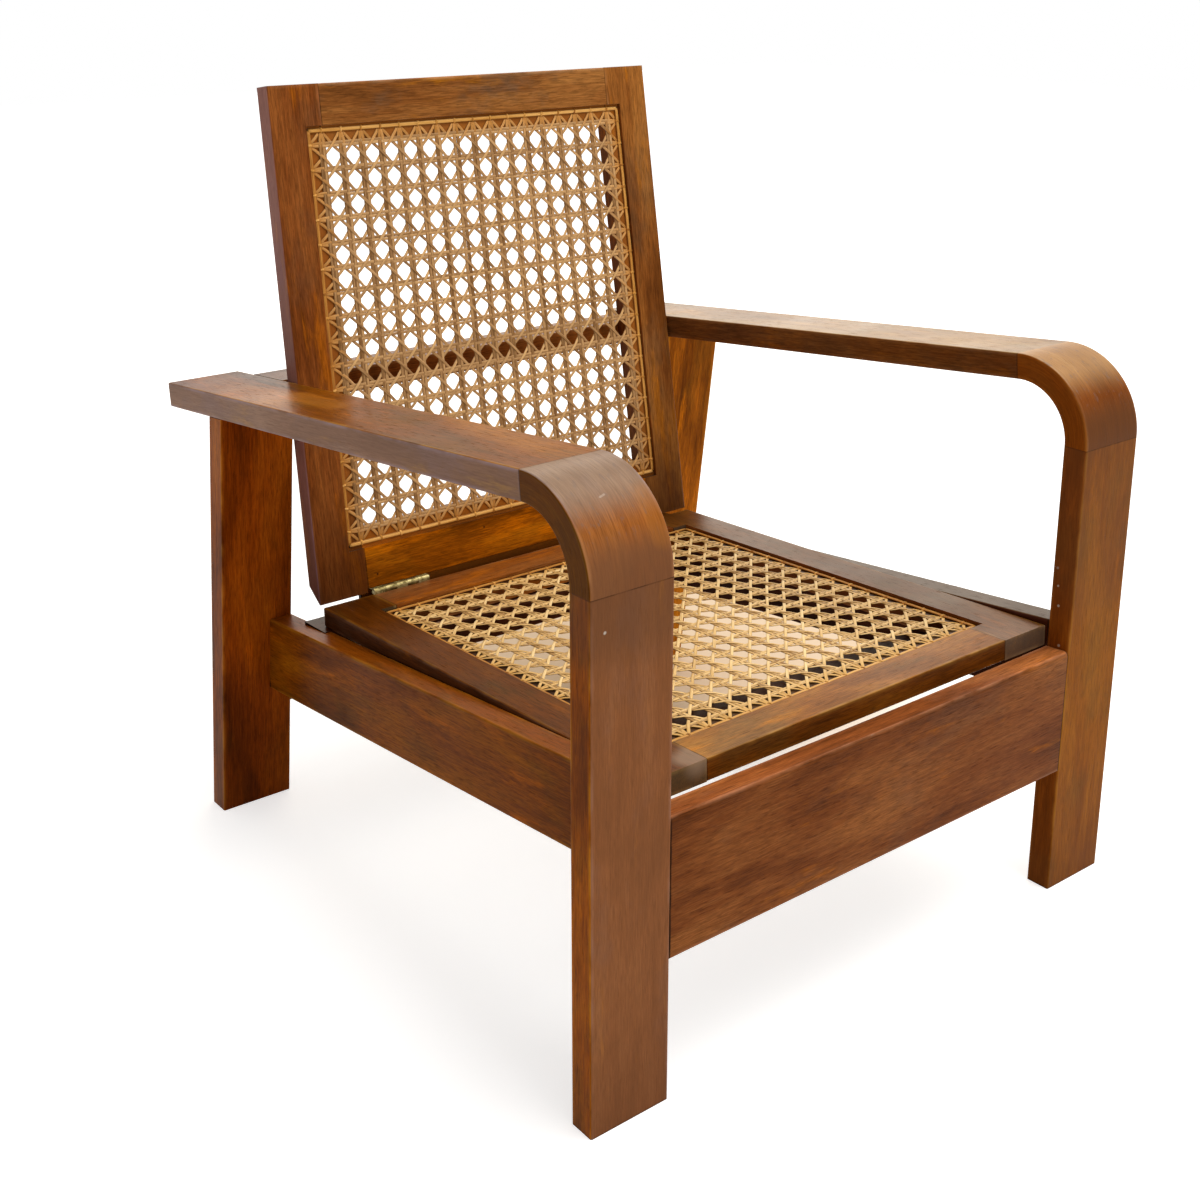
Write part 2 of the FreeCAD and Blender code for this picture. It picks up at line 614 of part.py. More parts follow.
def build_panel(panel, prefix, rail_names, hinge_edge, outward, own_knuckles):
    """A panel with its cane and hinge leaves, lying flat, by name."""
    stile, foot, head = panel_boards(panel)
    leaf, screws = hinge_leaf(hinge_edge, outward, own_knuckles)
    both_screws = screws + [mirrored(screw) for screw in screws]
    if outward > 0:
        head = head.cut(both_screws)
    else:
        foot = foot.fuse(gap_lip(panel)).removeSplitter().cut(both_screws)
        stile = stile.cut(stile_bevel(panel))
    return {
        "left_" + prefix + "_stile": stile,
        "right_" + prefix + "_stile": mirrored(stile),
        rail_names[0]: foot,
        rail_names[1]: head,
        prefix + "_cane": cane_net(panel),
        prefix + "_cane_binding": cane_binding(panel),
        "left_" + prefix + "_hinge_leaf": leaf,
        "right_" + prefix + "_hinge_leaf": mirrored(leaf),
        prefix + "_hinge_screws": Part.makeCompound(both_screws),
    }


def gap_lip(panel):
    """The thin rear part of the back's bottom rail, which hangs behind the hinges to close the gap."""
    start, end = panel.band(-BACK_LIP_DROP, panel.stile), panel.band(0, panel.stile)
    outline = [(-start, -BACK_LIP_DROP), (start, -BACK_LIP_DROP), (end, 0), (-end, 0)]
    return prism_z(outline, -panel.thickness, BACK_LIP_THICKNESS - panel.thickness)


def stile_bevel(panel):
    """The wood taken off the rear lower corner of a back stile."""
    inner, outer = panel.band(0, panel.stile) - OVERCUT, panel.half_width(0) + OVERCUT
    foot, deep = -panel.drop, -panel.thickness
    top = foot + BACK_BEVEL_HEIGHT
    outline = [(foot, deep + BACK_BEVEL_DEPTH), (top, deep), (top, deep - OVERCUT),
               (foot - OVERCUT, deep - OVERCUT), (foot - OVERCUT, deep + BACK_BEVEL_DEPTH)]
    return prism_x(outline, inner, outer)


def tilted(shape, angle, place):
    """Turn a flat piece about X, then move it to its place."""
    shape = shape.copy()
    shape.rotate(vector(0, 0, 0), vector(1, 0, 0), math.degrees(angle))
    shape.translate(place)
    return shape


def build_seat_and_back():
    """The seat, the back and the pins between them, in their places."""
    pin = hinge_pin(SEAT_AXIS)
    seat = {"left_hinge_pin": pin, "right_hinge_pin": mirrored(pin)}
    seat.update(build_panel(SEAT, "seat", ("seat_front_rail", "seat_rear_rail"), SEAT_LENGTH, 1,
                            range(0, HINGE_KNUCKLES, 2)))
    back = build_panel(BACK, "back", ("back_bottom_rail", "back_top_rail"), 0, -1,
                       range(1, HINGE_KNUCKLES, 2))
    seat_place = vector(0, SEAT_FRONT_DEPTH, SEAT_FRONT_TOP)
    rise, reach = KNUCKLE_RADIUS, HINGE_RISE
    back_place = vector(0, AXIS_DEPTH + rise * math.sin(BACK_LEAN) + reach * math.cos(BACK_LEAN),
                        AXIS_HEIGHT + rise * math.cos(BACK_LEAN) - reach * math.sin(BACK_LEAN))
    pieces = {name: tilted(shape, -SEAT_SLOPE, seat_place) for name, shape in seat.items()}
    for name, shape in back.items():
        pieces[name] = tilted(shape, math.pi / 2 - BACK_LEAN, back_place)
    return pieces


def main():
    os.makedirs("parts", exist_ok=True)
    pieces = build_frame()
    pieces.update(build_seat_and_back())
    to_origin = vector(0, -CHAIR_DEPTH / 2, 0)
    for name, shape in pieces.items():
        shape = shape.copy()
        shape.translate(to_origin)
        shape.exportStep("parts/" + name + ".step")


main()
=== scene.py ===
"""Looks of the planters chair: varnished boards, woven cane, brass and a pale studio."""

import json
import logging
import math
import random
from dataclasses import dataclass, field
from enum import Enum
from typing import Any, Sequence

import bmesh
import bpy
from mathutils import Matrix, Vector

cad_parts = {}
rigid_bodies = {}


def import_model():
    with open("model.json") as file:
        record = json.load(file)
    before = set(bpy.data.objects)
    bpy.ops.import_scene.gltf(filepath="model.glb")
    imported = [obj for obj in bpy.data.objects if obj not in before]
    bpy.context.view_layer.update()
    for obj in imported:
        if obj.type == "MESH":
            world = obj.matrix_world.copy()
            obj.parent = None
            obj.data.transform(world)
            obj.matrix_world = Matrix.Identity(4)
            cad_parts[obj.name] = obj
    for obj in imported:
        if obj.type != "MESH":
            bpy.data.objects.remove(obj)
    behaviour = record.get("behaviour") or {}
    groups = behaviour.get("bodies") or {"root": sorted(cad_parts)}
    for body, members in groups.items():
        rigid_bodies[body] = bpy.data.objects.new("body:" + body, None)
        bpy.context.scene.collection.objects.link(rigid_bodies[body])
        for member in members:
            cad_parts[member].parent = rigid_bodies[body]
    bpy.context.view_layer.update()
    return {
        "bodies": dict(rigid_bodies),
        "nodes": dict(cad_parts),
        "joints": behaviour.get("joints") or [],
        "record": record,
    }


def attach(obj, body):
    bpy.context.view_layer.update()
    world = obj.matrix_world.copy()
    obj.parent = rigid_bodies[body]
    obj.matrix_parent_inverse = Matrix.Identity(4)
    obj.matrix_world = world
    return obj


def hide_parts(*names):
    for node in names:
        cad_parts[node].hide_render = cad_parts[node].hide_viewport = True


LOG = logging.getLogger("planters_chair")
MM = 0.001
Triple = tuple[float, float, float]
Colour = tuple[float, float, float, float]
Socket = bpy.types.NodeSocket

# Where the seat and the back stand on the chair: the foot of their face, and its tilt.
SEAT_ORIGIN = (0.0, -0.340, 0.2866)
SEAT_TILT = math.radians(-2.8607)
BACK_ORIGIN = (0.0, 0.206494, 0.264679)
BACK_TILT = math.radians(81.8)


class Grain(Enum):
    """The axis of a board, in its own frame, that its grain runs along."""

    X = 0
    Y = 1
    Z = 2

    def order(self) -> list[int]:
        """The axes of the board's frame, with the grain's own first."""
        return [self.value] + [axis for axis in range(3) if axis != self.value]


class Side(Enum):
    """The side of the chair that a piece is on, from the sitter's place."""

    LEFT = 1
    RIGHT = -1


class Face(Enum):
    """The ways that a board's faces look."""

    FRONT = (0.0, -1.0, 0.0)
    OUTER = (-1.0, 0.0, 0.0)
    TOP = (0.0, 0.0, 1.0)


def shade(red: float, green: float, blue: float) -> Colour:
    """A linear colour with full cover."""
    return (red, green, blue, 1.0)


class NodeTree:
    """The nodes of a material or of the world, added and linked in short steps."""

    def __init__(self, tree: bpy.types.NodeTree) -> None:
        """Take over a tree and empty it."""
        self.tree = tree
        self.tree.nodes.clear()

    def feed(self, socket: Socket, value: Any) -> None:
        """Link a socket to another one, or set its value."""
        if isinstance(value, Socket):
            self.tree.links.new(value, socket)
        else:
            socket.default_value = value

    def node(self, kind: str, inputs: dict[Any, Any], **settings: Any) -> bpy.types.Node:
        """Add a node.

        Args:
            kind: the node's type.
            inputs: what each input socket takes.
            settings: the node's own options.

        Returns:
            The node.
        """
        made = self.tree.nodes.new(kind)
        for key, value in settings.items():
            setattr(made, key, value)
        for key, value in inputs.items():
            self.feed(made.inputs[key], value)
        return made

    def seen(self) -> Socket:
        """One where the camera, a reflection or glass looks at the backdrop, else nought."""
        path = self.node("ShaderNodeLightPath", {}).outputs
        looked = self.math("MAXIMUM", path["Is Camera Ray"], path["Is Glossy Ray"])
        return self.math("MAXIMUM", looked, path["Is Transmission Ray"])

    def object_point(self) -> Socket:
        """The place on the chair, in metres."""
        return self.node("ShaderNodeTexCoord", {}).outputs["Object"]

    def attribute(self, name: str) -> Socket:
        """A number that the mesh carries."""
        return self.node("ShaderNodeAttribute", {}, attribute_name=name).outputs["Fac"]

    def math(self, operation: str, *values: Any) -> Socket:
        """One arithmetic step.

        Args:
            operation: the name of the operation.
            values: its operands, numbers or sockets.

        Returns:
            The result.
        """
        inputs = dict(enumerate(values))
        return self.node("ShaderNodeMath", inputs, operation=operation).outputs[0]

    def split(self, point: Any) -> bpy.types.bpy_prop_collection:
        """The three numbers of a vector."""
        return self.node("ShaderNodeSeparateXYZ", {0: point}).outputs

    def combine(self, *values: Any) -> Socket:
        """A vector made of three numbers."""
        return self.node("ShaderNodeCombineXYZ", dict(enumerate(values))).outputs[0]

    def vector(self, operation: str, first: Any, second: Any) -> Socket:
        """One step with two vectors, giving a number where it measures them."""
        made = self.node("ShaderNodeVectorMath", {0: first, 1: second}, operation=operation)
        measured = operation in ("DOT_PRODUCT", "DISTANCE")
        return made.outputs["Value" if measured else "Vector"]

    def facing(self, way: Sequence[float], low: float, high: float) -> Socket:
        """How squarely the surface faces a way, from nought to one."""
        normal = self.node("ShaderNodeTexCoord", {}).outputs["Normal"]
        return self.rise(self.vector("DOT_PRODUCT", normal, way), low, high)

    def noise(self, point: Any, scale: Sequence[float], place: Sequence[float] = (0, 0, 0),
              detail: float = 2.0, roughness: float = 0.5, distortion: float = 0.0) -> Socket:
        """Soft noise, stretched by axis.

        Args:
            point: where it is read.
            scale: features per metre along each axis.
            place: an offset that sets one piece apart from the next.
            detail: how many finer layers it has.
            roughness: how strong those are.
            distortion: how far it swirls.

        Returns:
            A number around one half.
        """
        placed = self.node("ShaderNodeMapping",
                           {"Vector": point, "Scale": scale, "Location": place}).outputs[0]
        inputs = {"Vector": placed, "Scale": 1.0, "Detail": detail, "Roughness": roughness,
                  "Distortion": distortion}
        return self.node("ShaderNodeTexNoise", inputs).outputs["Fac"]

    def rise(self, value: Any, low: float, high: float) -> Socket:
        """A smooth step from nought at the low value to one at the high value."""
        inputs = {"Value": value, "From Min": low, "From Max": high}
        return self.node("ShaderNodeMapRange", inputs, interpolation_type="SMOOTHSTEP").outputs[0]

    def between(self, value: Any, low: float, high: float) -> Socket:
        """A number from nought to one, spread evenly from a low to a high value."""
        inputs = {"Value": value, "To Min": low, "To Max": high}
        return self.node("ShaderNodeMapRange", inputs).outputs[0]

    def ramp(self, value: Any, stops: Sequence[tuple[float, Colour]]) -> Socket:
        """A colour read off a row of stops."""
        made = self.node("ShaderNodeValToRGB", {"Fac": value})
        while len(made.color_ramp.elements) < len(stops):
            made.color_ramp.elements.new(1.0)
        for element, (position, colour) in zip(made.color_ramp.elements, stops):
            element.position = position
            element.color = colour
        return made.outputs["Color"]

    def mix(self, factor: Any, first: Any, second: Any, blend: str = "MIX") -> Socket:
        """Two colours, mixed.

        Args:
            factor: the second colour's share.
            first: the colour below.
            second: the colour above.
            blend: how they are mixed.

        Returns:
            The colour.
        """
        made = self.node("ShaderNodeMix", {0: factor, 6: first, 7: second},
                         data_type="RGBA", blend_type=blend)
        return made.outputs[2]

    def product(self, *factors: Any) -> Socket:
        """The product of some numbers."""
        total = factors[0]
        for factor in factors[1:]:
            total = self.math("MULTIPLY", total, factor)
        return total

    def cover(self, below: Any, above: Any, *shares: Any) -> Socket:
        """Lay one colour over another.

        Args:
            below: the colour below.
            above: the colour that is laid over it.
            shares: what its share is the product of.

        Returns:
            The colour.
        """
        return self.mix(self.product(*shares), below, above)

    def bump(self, height: Any, distance: float) -> Socket:
        """A surface normal pressed by a height from nought to one."""
        return self.node("ShaderNodeBump", {"Height": height, "Distance": distance}).outputs[0]


class ShaderTree(NodeTree):
    """The node tree of one material, built from the piece's own coordinates."""

    def __init__(self, name: str) -> None:
        """Start a material with one shader.

        Args:
            name: the material's name.
        """
        self.material = bpy.data.materials.new(name)
        self.material.use_nodes = True
        super().__init__(self.material.node_tree)
        self.shader = self.node("ShaderNodeBsdfPrincipled", {})
        self.output = self.node("ShaderNodeOutputMaterial", {"Surface": self.shader.outputs[0]})

    def surface(self, name: str, value: Any) -> None:
        """Give one of the shader's inputs a value or a link."""
        self.feed(self.shader.inputs[name], value)


@dataclass(frozen=True)
class Rebate:
    """The sunk ledge that the cane is tied to, coloured apart from the board: near black on the
    seat, which is painted shade under the cane, and a warm amber on the back.
    """

    origin: Triple
    tilt: float
    colour: Colour
    share: float
    depth: float = 4.0 * MM
    blend: float = 0.6 * MM

    def darken(self, tree: ShaderTree, colour: Any) -> Socket:
        """Lay the ledge's colour below the panel's face; on the seat it is painted shade.

        Args:
            tree: the material that it joins.
            colour: the colour of the board.

        Returns:
            The colour of the board with its ledge.
        """
        outward = Matrix.Rotation(self.tilt, 3, "X") @ Vector((0.0, 0.0, 1.0))
        height = tree.vector("DOT_PRODUCT", tree.object_point(), tuple(outward))
        ledge = outward.dot(Vector(self.origin)) - self.depth
        below = tree.rise(height, ledge + self.blend, ledge - self.blend)
        outer = tree.facing(tuple(outward), 0.80, 0.95)
        return tree.cover(colour, self.colour, below, outer, self.share)


@dataclass(frozen=True)
class Mark:
    """A nick, a filled nail hole, a crack or a patch on a board, between two points."""

    start: Triple
    end: Triple
    width: float
    colour: Colour
    share: float = 0.8

    def lay(self, tree: ShaderTree, colour: Any) -> Socket:
        """Lay the mark on the board's colour.

        Args:
            tree: the material that it joins.
            colour: the colour of the board.

        Returns:
            The colour of the board with its mark.
        """
        run = Vector(self.end) - Vector(self.start)
        offset = tree.vector("SUBTRACT", tree.object_point(), self.start)
        along = tree.vector("DOT_PRODUCT", offset, tuple(run / run.length_squared))
        clamped = tree.math("MINIMUM", tree.math("MAXIMUM", along, 0.0), 1.0)
        foot = tree.vector("MULTIPLY", tree.combine(clamped, clamped, clamped), tuple(run))
        distance = tree.vector("DISTANCE", offset, foot)
        near = tree.rise(distance, self.width, self.width * 0.3)
        return tree.cover(colour, self.colour, near, self.share)


class BoardTree(ShaderTree):
    """The node tree of one board's varnish, with the board's own frame at hand."""

    def __init__(self, board: "Board") -> None:
        """Start the material of one board.

        Args:
            board: the board that it dresses.
        """
        super().__init__(f"varnish_{board.node}")
        self.board = board
        self.place = (board.seed * 1.7, board.seed * 3.1, board.seed * 2.3)
        self.point = self.board_point()

    def board_point(self) -> Socket:
        """The point in the board's own frame, with its grain along the first axis."""
        board = self.board
        inputs = {"Vector": self.object_point(), "Location": board.centre,
                  "Rotation": (board.tilt, 0.0, 0.0)}
        axes = self.split(self.node("ShaderNodeMapping", inputs, vector_type="TEXTURE").outputs[0])
        if not board.bend_radius:
            return self.combine(*(axes[axis] for axis in board.grain.order()))
        angle = self.math("ARCTAN2", axes[2], self.product(axes[1], -1.0))
        squares = [self.product(axes[axis], axes[axis]) for axis in (1, 2)]
        radius = self.math("SQRT", self.math("ADD", *squares))
        return self.combine(self.product(angle, board.bend_radius), axes[0],
                            self.math("SUBTRACT", radius, board.bend_radius))

    def grain_noise(self, along: float, across: float, place: Sequence[float] | None = None,
                    **settings: float) -> Socket:
        """Soft noise drawn out along the grain.

        Args:
            along: features per metre along the grain.
            across: features per metre across it.
            place: an offset, or None for the one that sets the board apart from the next.
            settings: the detail, the roughness and the distortion of the noise.

        Returns:
            A number around one half.
        """
        return self.noise(self.point, (along, across, across), place or self.place, **settings)


@dataclass(frozen=True)
class WoodFinish:
    """Red-brown hardwood under a satin varnish, rubbed by use."""

    dark: Colour = shade(0.050, 0.012, 0.002)
    middle: Colour = shade(0.190, 0.050, 0.008)
    light: Colour = shade(0.305, 0.098, 0.018)
    amber: Colour = shade(0.480, 0.125, 0.002)
    smudge: Colour = shade(0.100, 0.050, 0.022)
    worn_highlight: Colour = shade(0.450, 0.200, 0.075)
    end: Colour = shade(0.060, 0.038, 0.026)
    plain: Colour = shade(0.165, 0.047, 0.0085)
    scuff: Colour = shade(0.16, 0.11, 0.085)
    joint: Colour = shade(0.012, 0.006, 0.003)
    sheen: Colour = shade(1.0, 0.50, 0.20)
    roughness: float = 0.33
    gloss: float = 0.035
    top_gloss: float = 0.110
    wear_highlight_reach: float = 4.5 * MM
    wear_highlight_edge: float = 0.4 * MM
    joint_reach: float = 1.5 * MM
    joint_edge: float = 0.5 * MM
    darkening_reach: float = 0.16
    relief: float = 0.05 * MM
    face_blend: tuple[float, float] = (0.55, 0.90)
    # Faces whose blue factor is above this are first calmed towards the plain colour: a grey bloom
    # of rubbed varnish together with painted sheen and reflection.
    grey_bloom_and_sheen_blue: float = 3.0
    grey_bloom_and_sheen_calm: float = 0.65

    def figure(self, tree: BoardTree) -> Socket:
        """The bands, stripes and amber flames of the wood."""
        bands = tree.grain_noise(3.6, 14, detail=3.0, roughness=0.55, distortion=0.6)
        stripes = tree.grain_noise(9.0, 140, detail=3.0, roughness=0.65)
        tone = tree.math("ADD", tree.product(bands, 0.74), tree.product(stripes, 0.26))
        tone = tree.math("ADD", tone, tree.board.tone)
        colour = tree.ramp(tone, [(0.30, self.dark), (0.49, self.middle), (0.66, self.light)])
        flame = tree.grain_noise(8, 44, (tree.board.seed, 5, 2), detail=6.0, roughness=0.66)
        amber = tree.rise(flame, 0.57 - tree.board.amber, 0.72 - tree.board.amber)
        return tree.cover(colour, self.amber, amber, 0.55)

    def end_grain(self, tree: BoardTree) -> Socket:
        """How squarely the surface cuts across the grain, from nought to one."""
        normal = tree.node("ShaderNodeTexCoord", {}).outputs["Normal"]
        facing = tree.vector("DOT_PRODUCT", normal, tree.board.grain_direction())
        return tree.rise(tree.math("ABSOLUTE", facing), 0.80, 0.97)

    def edge_wear_highlight(self, tree: BoardTree) -> Socket:
        """How near the point is to a paler arris of the board, from nought to one: rubbed by use,
        with a painted highlight.
        """
        near = []
        for axis, half in zip(tree.split(tree.point), tree.board.halves()):
            distance = tree.math("ABSOLUTE", axis)
            near.append(tree.rise(distance, half - self.wear_highlight_reach, half - self.wear_highlight_edge))
        pair = tree.product(near[1], near[2])
        ends = tree.product(near[0], tree.math("MAXIMUM", near[1], near[2]))
        wear_highlight = tree.math("MAXIMUM", pair, tree.product(ends, tree.board.end_wear_highlight))
        patchy = tree.grain_noise(30, 60, (tree.board.seed, 0, 0), detail=3.0)
        return tree.product(wear_highlight, tree.rise(patchy, 0.30, 0.66))

    def recolour(self, tree: BoardTree, colour: Any) -> Socket:
        """Lay painted light and shade on each face of the board, by the factors listed for it."""
        for face, painted_light_tint in FACE_LIGHT_AND_SHADE.get(tree.board.node, {}).items():
            calm = self.grey_bloom_and_sheen_calm if painted_light_tint[2] > self.grey_bloom_and_sheen_blue else tree.board.calm
            painted_face_colour = tree.mix(1.0, tree.mix(calm, colour, self.plain), shade(*painted_light_tint), "MULTIPLY")
            colour = tree.mix(tree.facing(face.value, *self.face_blend), colour, painted_face_colour)
        return colour

    def joint_line(self, tree: BoardTree) -> Socket:
        """Where the board's shoulders meet the next one in a dark line."""
        along = tree.math("ABSOLUTE", tree.split(tree.point)[0])
        shoulder = tree.board.halves()[0] - tree.board.shoulder
        near = tree.rise(along, shoulder - self.joint_reach, shoulder - self.joint_edge)
        broken = tree.grain_noise(40, 60, (tree.board.seed, 4, 0), detail=3.0)
        return tree.product(near, tree.between(tree.rise(broken, 0.3, 0.6), 0.45, 0.95))

    def old_age(self, tree: BoardTree, colour: Any, cloud: Any) -> Socket:
        """Lay scuffs, marks, a darkening towards the foot and the dark lines of the joints on the
        board.

        Args:
            tree: the board's node tree.
            colour: the colour of the varnished board.
            cloud: soft noise that breaks up the darkening at the foot.

        Returns:
            The colour of the used board.
        """
        board = tree.board
        if board.scuffs:
            scratch = tree.rise(tree.grain_noise(120, 230, detail=5.0, roughness=0.7), 0.56, 0.66)
            top = tree.facing(Face.TOP.value, 0.30, 0.80)
            colour = tree.cover(colour, self.scuff, scratch, top, board.scuffs)
        for mark in MARKS.get(board.node, ()):
            colour = mark.lay(tree, colour)
        # The ledge's colour, which on the seat is painted shade.
        if board.rebate:
            colour = board.rebate.darken(tree, colour)
        # Darker towards the foot of the board; on the back stiles this is painted shade from the
        # arms and the seat.
        if board.darkening:
            foot = -board.size[board.grain.value]
            low = tree.rise(tree.split(tree.point)[0], foot + self.darkening_reach, foot)
            colour = tree.cover(colour, self.dark, low, tree.between(cloud, 0.5, 1.3), board.darkening)
        if board.joint:
            colour = tree.cover(colour, self.joint, self.joint_line(tree), board.joint)
        return colour

    def varnish(self, tree: BoardTree, fibre: Any, pores: Any) -> None:
        """Set how the varnish shines, and the relief of the grain below it.

        Args:
            tree: the board's node tree.
            fibre: the fine noise of the wood's fibres.
            pores: where the pores are, from nought to one.
        """
        smears = tree.noise(tree.object_point(), (9, 14, 14), tree.place, detail=3.0)
        rough = tree.between(smears, self.roughness - 0.10, self.roughness + 0.12)
        tree.surface("Roughness", tree.math("ADD", rough, tree.product(pores, 0.15)))
        # The plain value stays for a reader that doesn't follow the link.
        tree.surface("Specular IOR Level", self.gloss)
        top = tree.facing(Face.TOP.value, *self.face_blend)
        gloss = tree.between(top, self.gloss, self.top_gloss * tree.board.shine)
        tree.surface("Specular IOR Level", gloss)
        tree.surface("Specular Tint", self.sheen)
        relief = tree.math("SUBTRACT", tree.product(fibre, 0.6), pores)
        tree.surface("Normal", tree.bump(relief, self.relief))

    def material(self, board: "Board") -> bpy.types.Material:
        """The finish of one board, with a figure of its own.

        Args:
            board: the board that it dresses.

        Returns:
            The material.
        """
        tree = BoardTree(board)
        cloud = tree.grain_noise(9, 17, detail=5.0, roughness=0.65)
        fibre = tree.grain_noise(55, 820, detail=3.0, roughness=0.7)
        pores = tree.rise(tree.grain_noise(70, 640, detail=2.0), 0.58, 0.70)
        colour = self.figure(tree)
        colour = tree.cover(colour, self.smudge, tree.rise(cloud, 0.47, 0.66), board.smudge)
        grey = tree.between(tree.rise(fibre, 0.30, 0.70), 0.68, 1.32)
        colour = tree.mix(1.0, colour, tree.combine(grey, grey, grey), "MULTIPLY")
        colour = tree.cover(colour, self.dark, pores, 0.40)
        colour = tree.cover(colour, self.end, self.end_grain(tree), 0.72)
        # Paler arrises: rubbed by use, with a painted highlight where light catches them.
        colour = tree.cover(colour, self.worn_highlight, self.edge_wear_highlight(tree), board.wear_highlight)
        colour = tree.mix(1.0, colour, board.painted_light_tint, "MULTIPLY")
        # Painted light and shade on each face.
        colour = self.recolour(tree, colour)
        tree.surface("Base Color", self.old_age(tree, colour, cloud))
        self.varnish(tree, fibre, pores)
        return tree.material


# Painted light and shade: how the colour of each face is changed for the way that light falls on
# it, as factors on the red, green and blue of the wood; some tops also carry painted sheen.
FACE_LIGHT_AND_SHADE: dict[str, dict[Face, Triple]] = {
    "right_front_leg": {Face.FRONT: (1.42, 1.86, 3.76), Face.OUTER: (1.64, 1.41, 0.22)},
    "right_rear_leg": {Face.OUTER: (1.64, 1.41, 0.22), Face.FRONT: (1.19, 0.78, 0.2)},
    "right_arm_corner": {
        Face.TOP: (1.17, 2.44, 8.26),
        Face.FRONT: (1.54, 1.65, 1.78),
        Face.OUTER: (0.61, 0.6, 0.15)},
    "right_arm": {Face.TOP: (1.07, 1.08, 0.15), Face.OUTER: (1.86, 3.60, 13.0)},
    "front_rail": {Face.FRONT: (0.88, 0.92, 1.26), Face.TOP: (1.74, 1.81, 2.58)},
    "right_side_rail": {Face.OUTER: (1.06, 0.94, 0.15), Face.TOP: (1.14, 0.98, 0.15)},
    "right_back_stile": {Face.FRONT: (0.93, 0.91, 1.04), Face.OUTER: (1.87, 2.88, 12.5)},
    "back_top_rail": {Face.FRONT: (1.12, 1.42, 1.89)},
    "back_bottom_rail": {Face.FRONT: (1.35, 1.27, 0.18)},
    "left_back_stile": {Face.FRONT: (1.06, 1.22, 1.33)},
    "left_arm": {Face.OUTER: (0.7, 0.74, 0.82), Face.TOP: (0.79, 1.23, 0.95)},
    "left_arm_corner": {
        Face.TOP: (2.10, 3.85, 7.9),
        Face.FRONT: (1.05, 1.0, 0.8),
        Face.OUTER: (1.26, 1.09, 0.51)},
    "left_front_leg": {Face.FRONT: (1.22, 1.27, 0.46), Face.OUTER: (1.26, 1.09, 0.51)},
    "seat_front_rail": {Face.TOP: (1.31, 1.64, 1.19), Face.FRONT: (0.58, 0.58, 0.27)},
    "right_seat_stile": {
        Face.TOP: (0.6, 0.56, 0.15),
        Face.OUTER: (0.5, 0.54, 0.75),
        Face.FRONT: (0.95, 1.21, 1.01)},
    "left_seat_stile": {Face.TOP: (0.7, 0.82, 0.44), Face.FRONT: (0.97, 1.28, 1.43)},
    "left_side_rail": {Face.TOP: (0.21, 0.3, 0.22), Face.OUTER: (0.3, 0.25, 0.5)},
    "left_rear_leg": {Face.FRONT: (2.56, 2.63, 0.65), Face.OUTER: (2.56, 2.63, 0.65)},
    "rear_stretcher": {Face.FRONT: (0.35, 0.3, 0.5)},
}

# Nicks, holes, cracks and patches, each in its own place on the chair; the warm patch on the arm's
# top is painted reflection.
PALE_NICK = shade(0.55, 0.47, 0.38)
DARK_HOLE = shade(0.012, 0.006, 0.003)
PALE_GREY = shade(0.34, 0.23, 0.15)
WARM_PATCH = shade(0.42, 0.15, 0.020)
DUSKY_PATCH = shade(0.115, 0.050, 0.024)
MARKS: dict[str, tuple[Mark, ...]] = {
    "right_front_leg": (
        # Darker towards the top of the leg, below the arm corner.
        Mark((-0.335, -0.369, 0.460), (-0.262, -0.369, 0.460), 62 * MM, DUSKY_PATCH, 0.45),
        Mark((-0.3262, -0.369, 0.4452), (-0.3260, -0.369, 0.4454), 1.8 * MM, PALE_NICK, 0.9)),
    "right_arm_corner": (
        Mark((-0.265, -0.342, 0.534), (-0.265, -0.3615, 0.508), 16 * MM, WARM_PATCH, 0.25),
        Mark((-0.300, -0.3349, 0.5395), (-0.305, -0.336, 0.5385), 1.3 * MM, PALE_NICK, 0.35)),
    "right_arm": (
        # Painted reflection: the saturated orange where the arm's top mirrors the dark back panel
        # instead of the bright room.
        Mark((-0.291, 0.170, 0.507), (-0.296, 0.080, 0.516), 20 * MM, WARM_PATCH, 0.40),),
    "right_seat_stile": (
        Mark((-0.205, -0.330, 0.2862), (-0.180, -0.318, 0.2856), 22 * MM, PALE_GREY, 0.6),),
    "left_front_leg": (
        # Darker towards the top of the leg, below the arm corner.
        Mark((0.299, -0.369, 0.470), (0.299, -0.369, 0.350), 95 * MM, DUSKY_PATCH, 0.30),
        Mark((0.258, -0.3480, 0.3493), (0.258, -0.3484, 0.3497), 1.8 * MM, PALE_NICK, 0.35),
        Mark((0.258, -0.3502, 0.3310), (0.258, -0.3506, 0.3314), 1.5 * MM, PALE_NICK, 0.6),
        Mark((0.258, -0.3525, 0.3106), (0.258, -0.3529, 0.3110), 1.7 * MM, PALE_NICK, 0.7),
        Mark((0.258, -0.3568, 0.2695), (0.258, -0.3572, 0.2699), 2.0 * MM, PALE_NICK, 0.6)),
    "front_rail": (
        Mark((0.167, -0.3685, 0.2648), (0.228, -0.3680, 0.2666), 1.0 * MM, DARK_HOLE, 0.75),
        Mark((-0.024, -0.3685, 0.2660), (-0.020, -0.3685, 0.2662), 1.6 * MM, PALE_NICK, 0.7)),
    "back_bottom_rail": (
        Mark((-0.1853, 0.2085, 0.2785), (-0.1850, 0.2085, 0.2785), 1.7 * MM, DARK_HOLE, 0.9),
        Mark((-0.0423, 0.2116, 0.3000), (-0.0420, 0.2116, 0.3000), 1.7 * MM, DARK_HOLE, 0.9)),
}


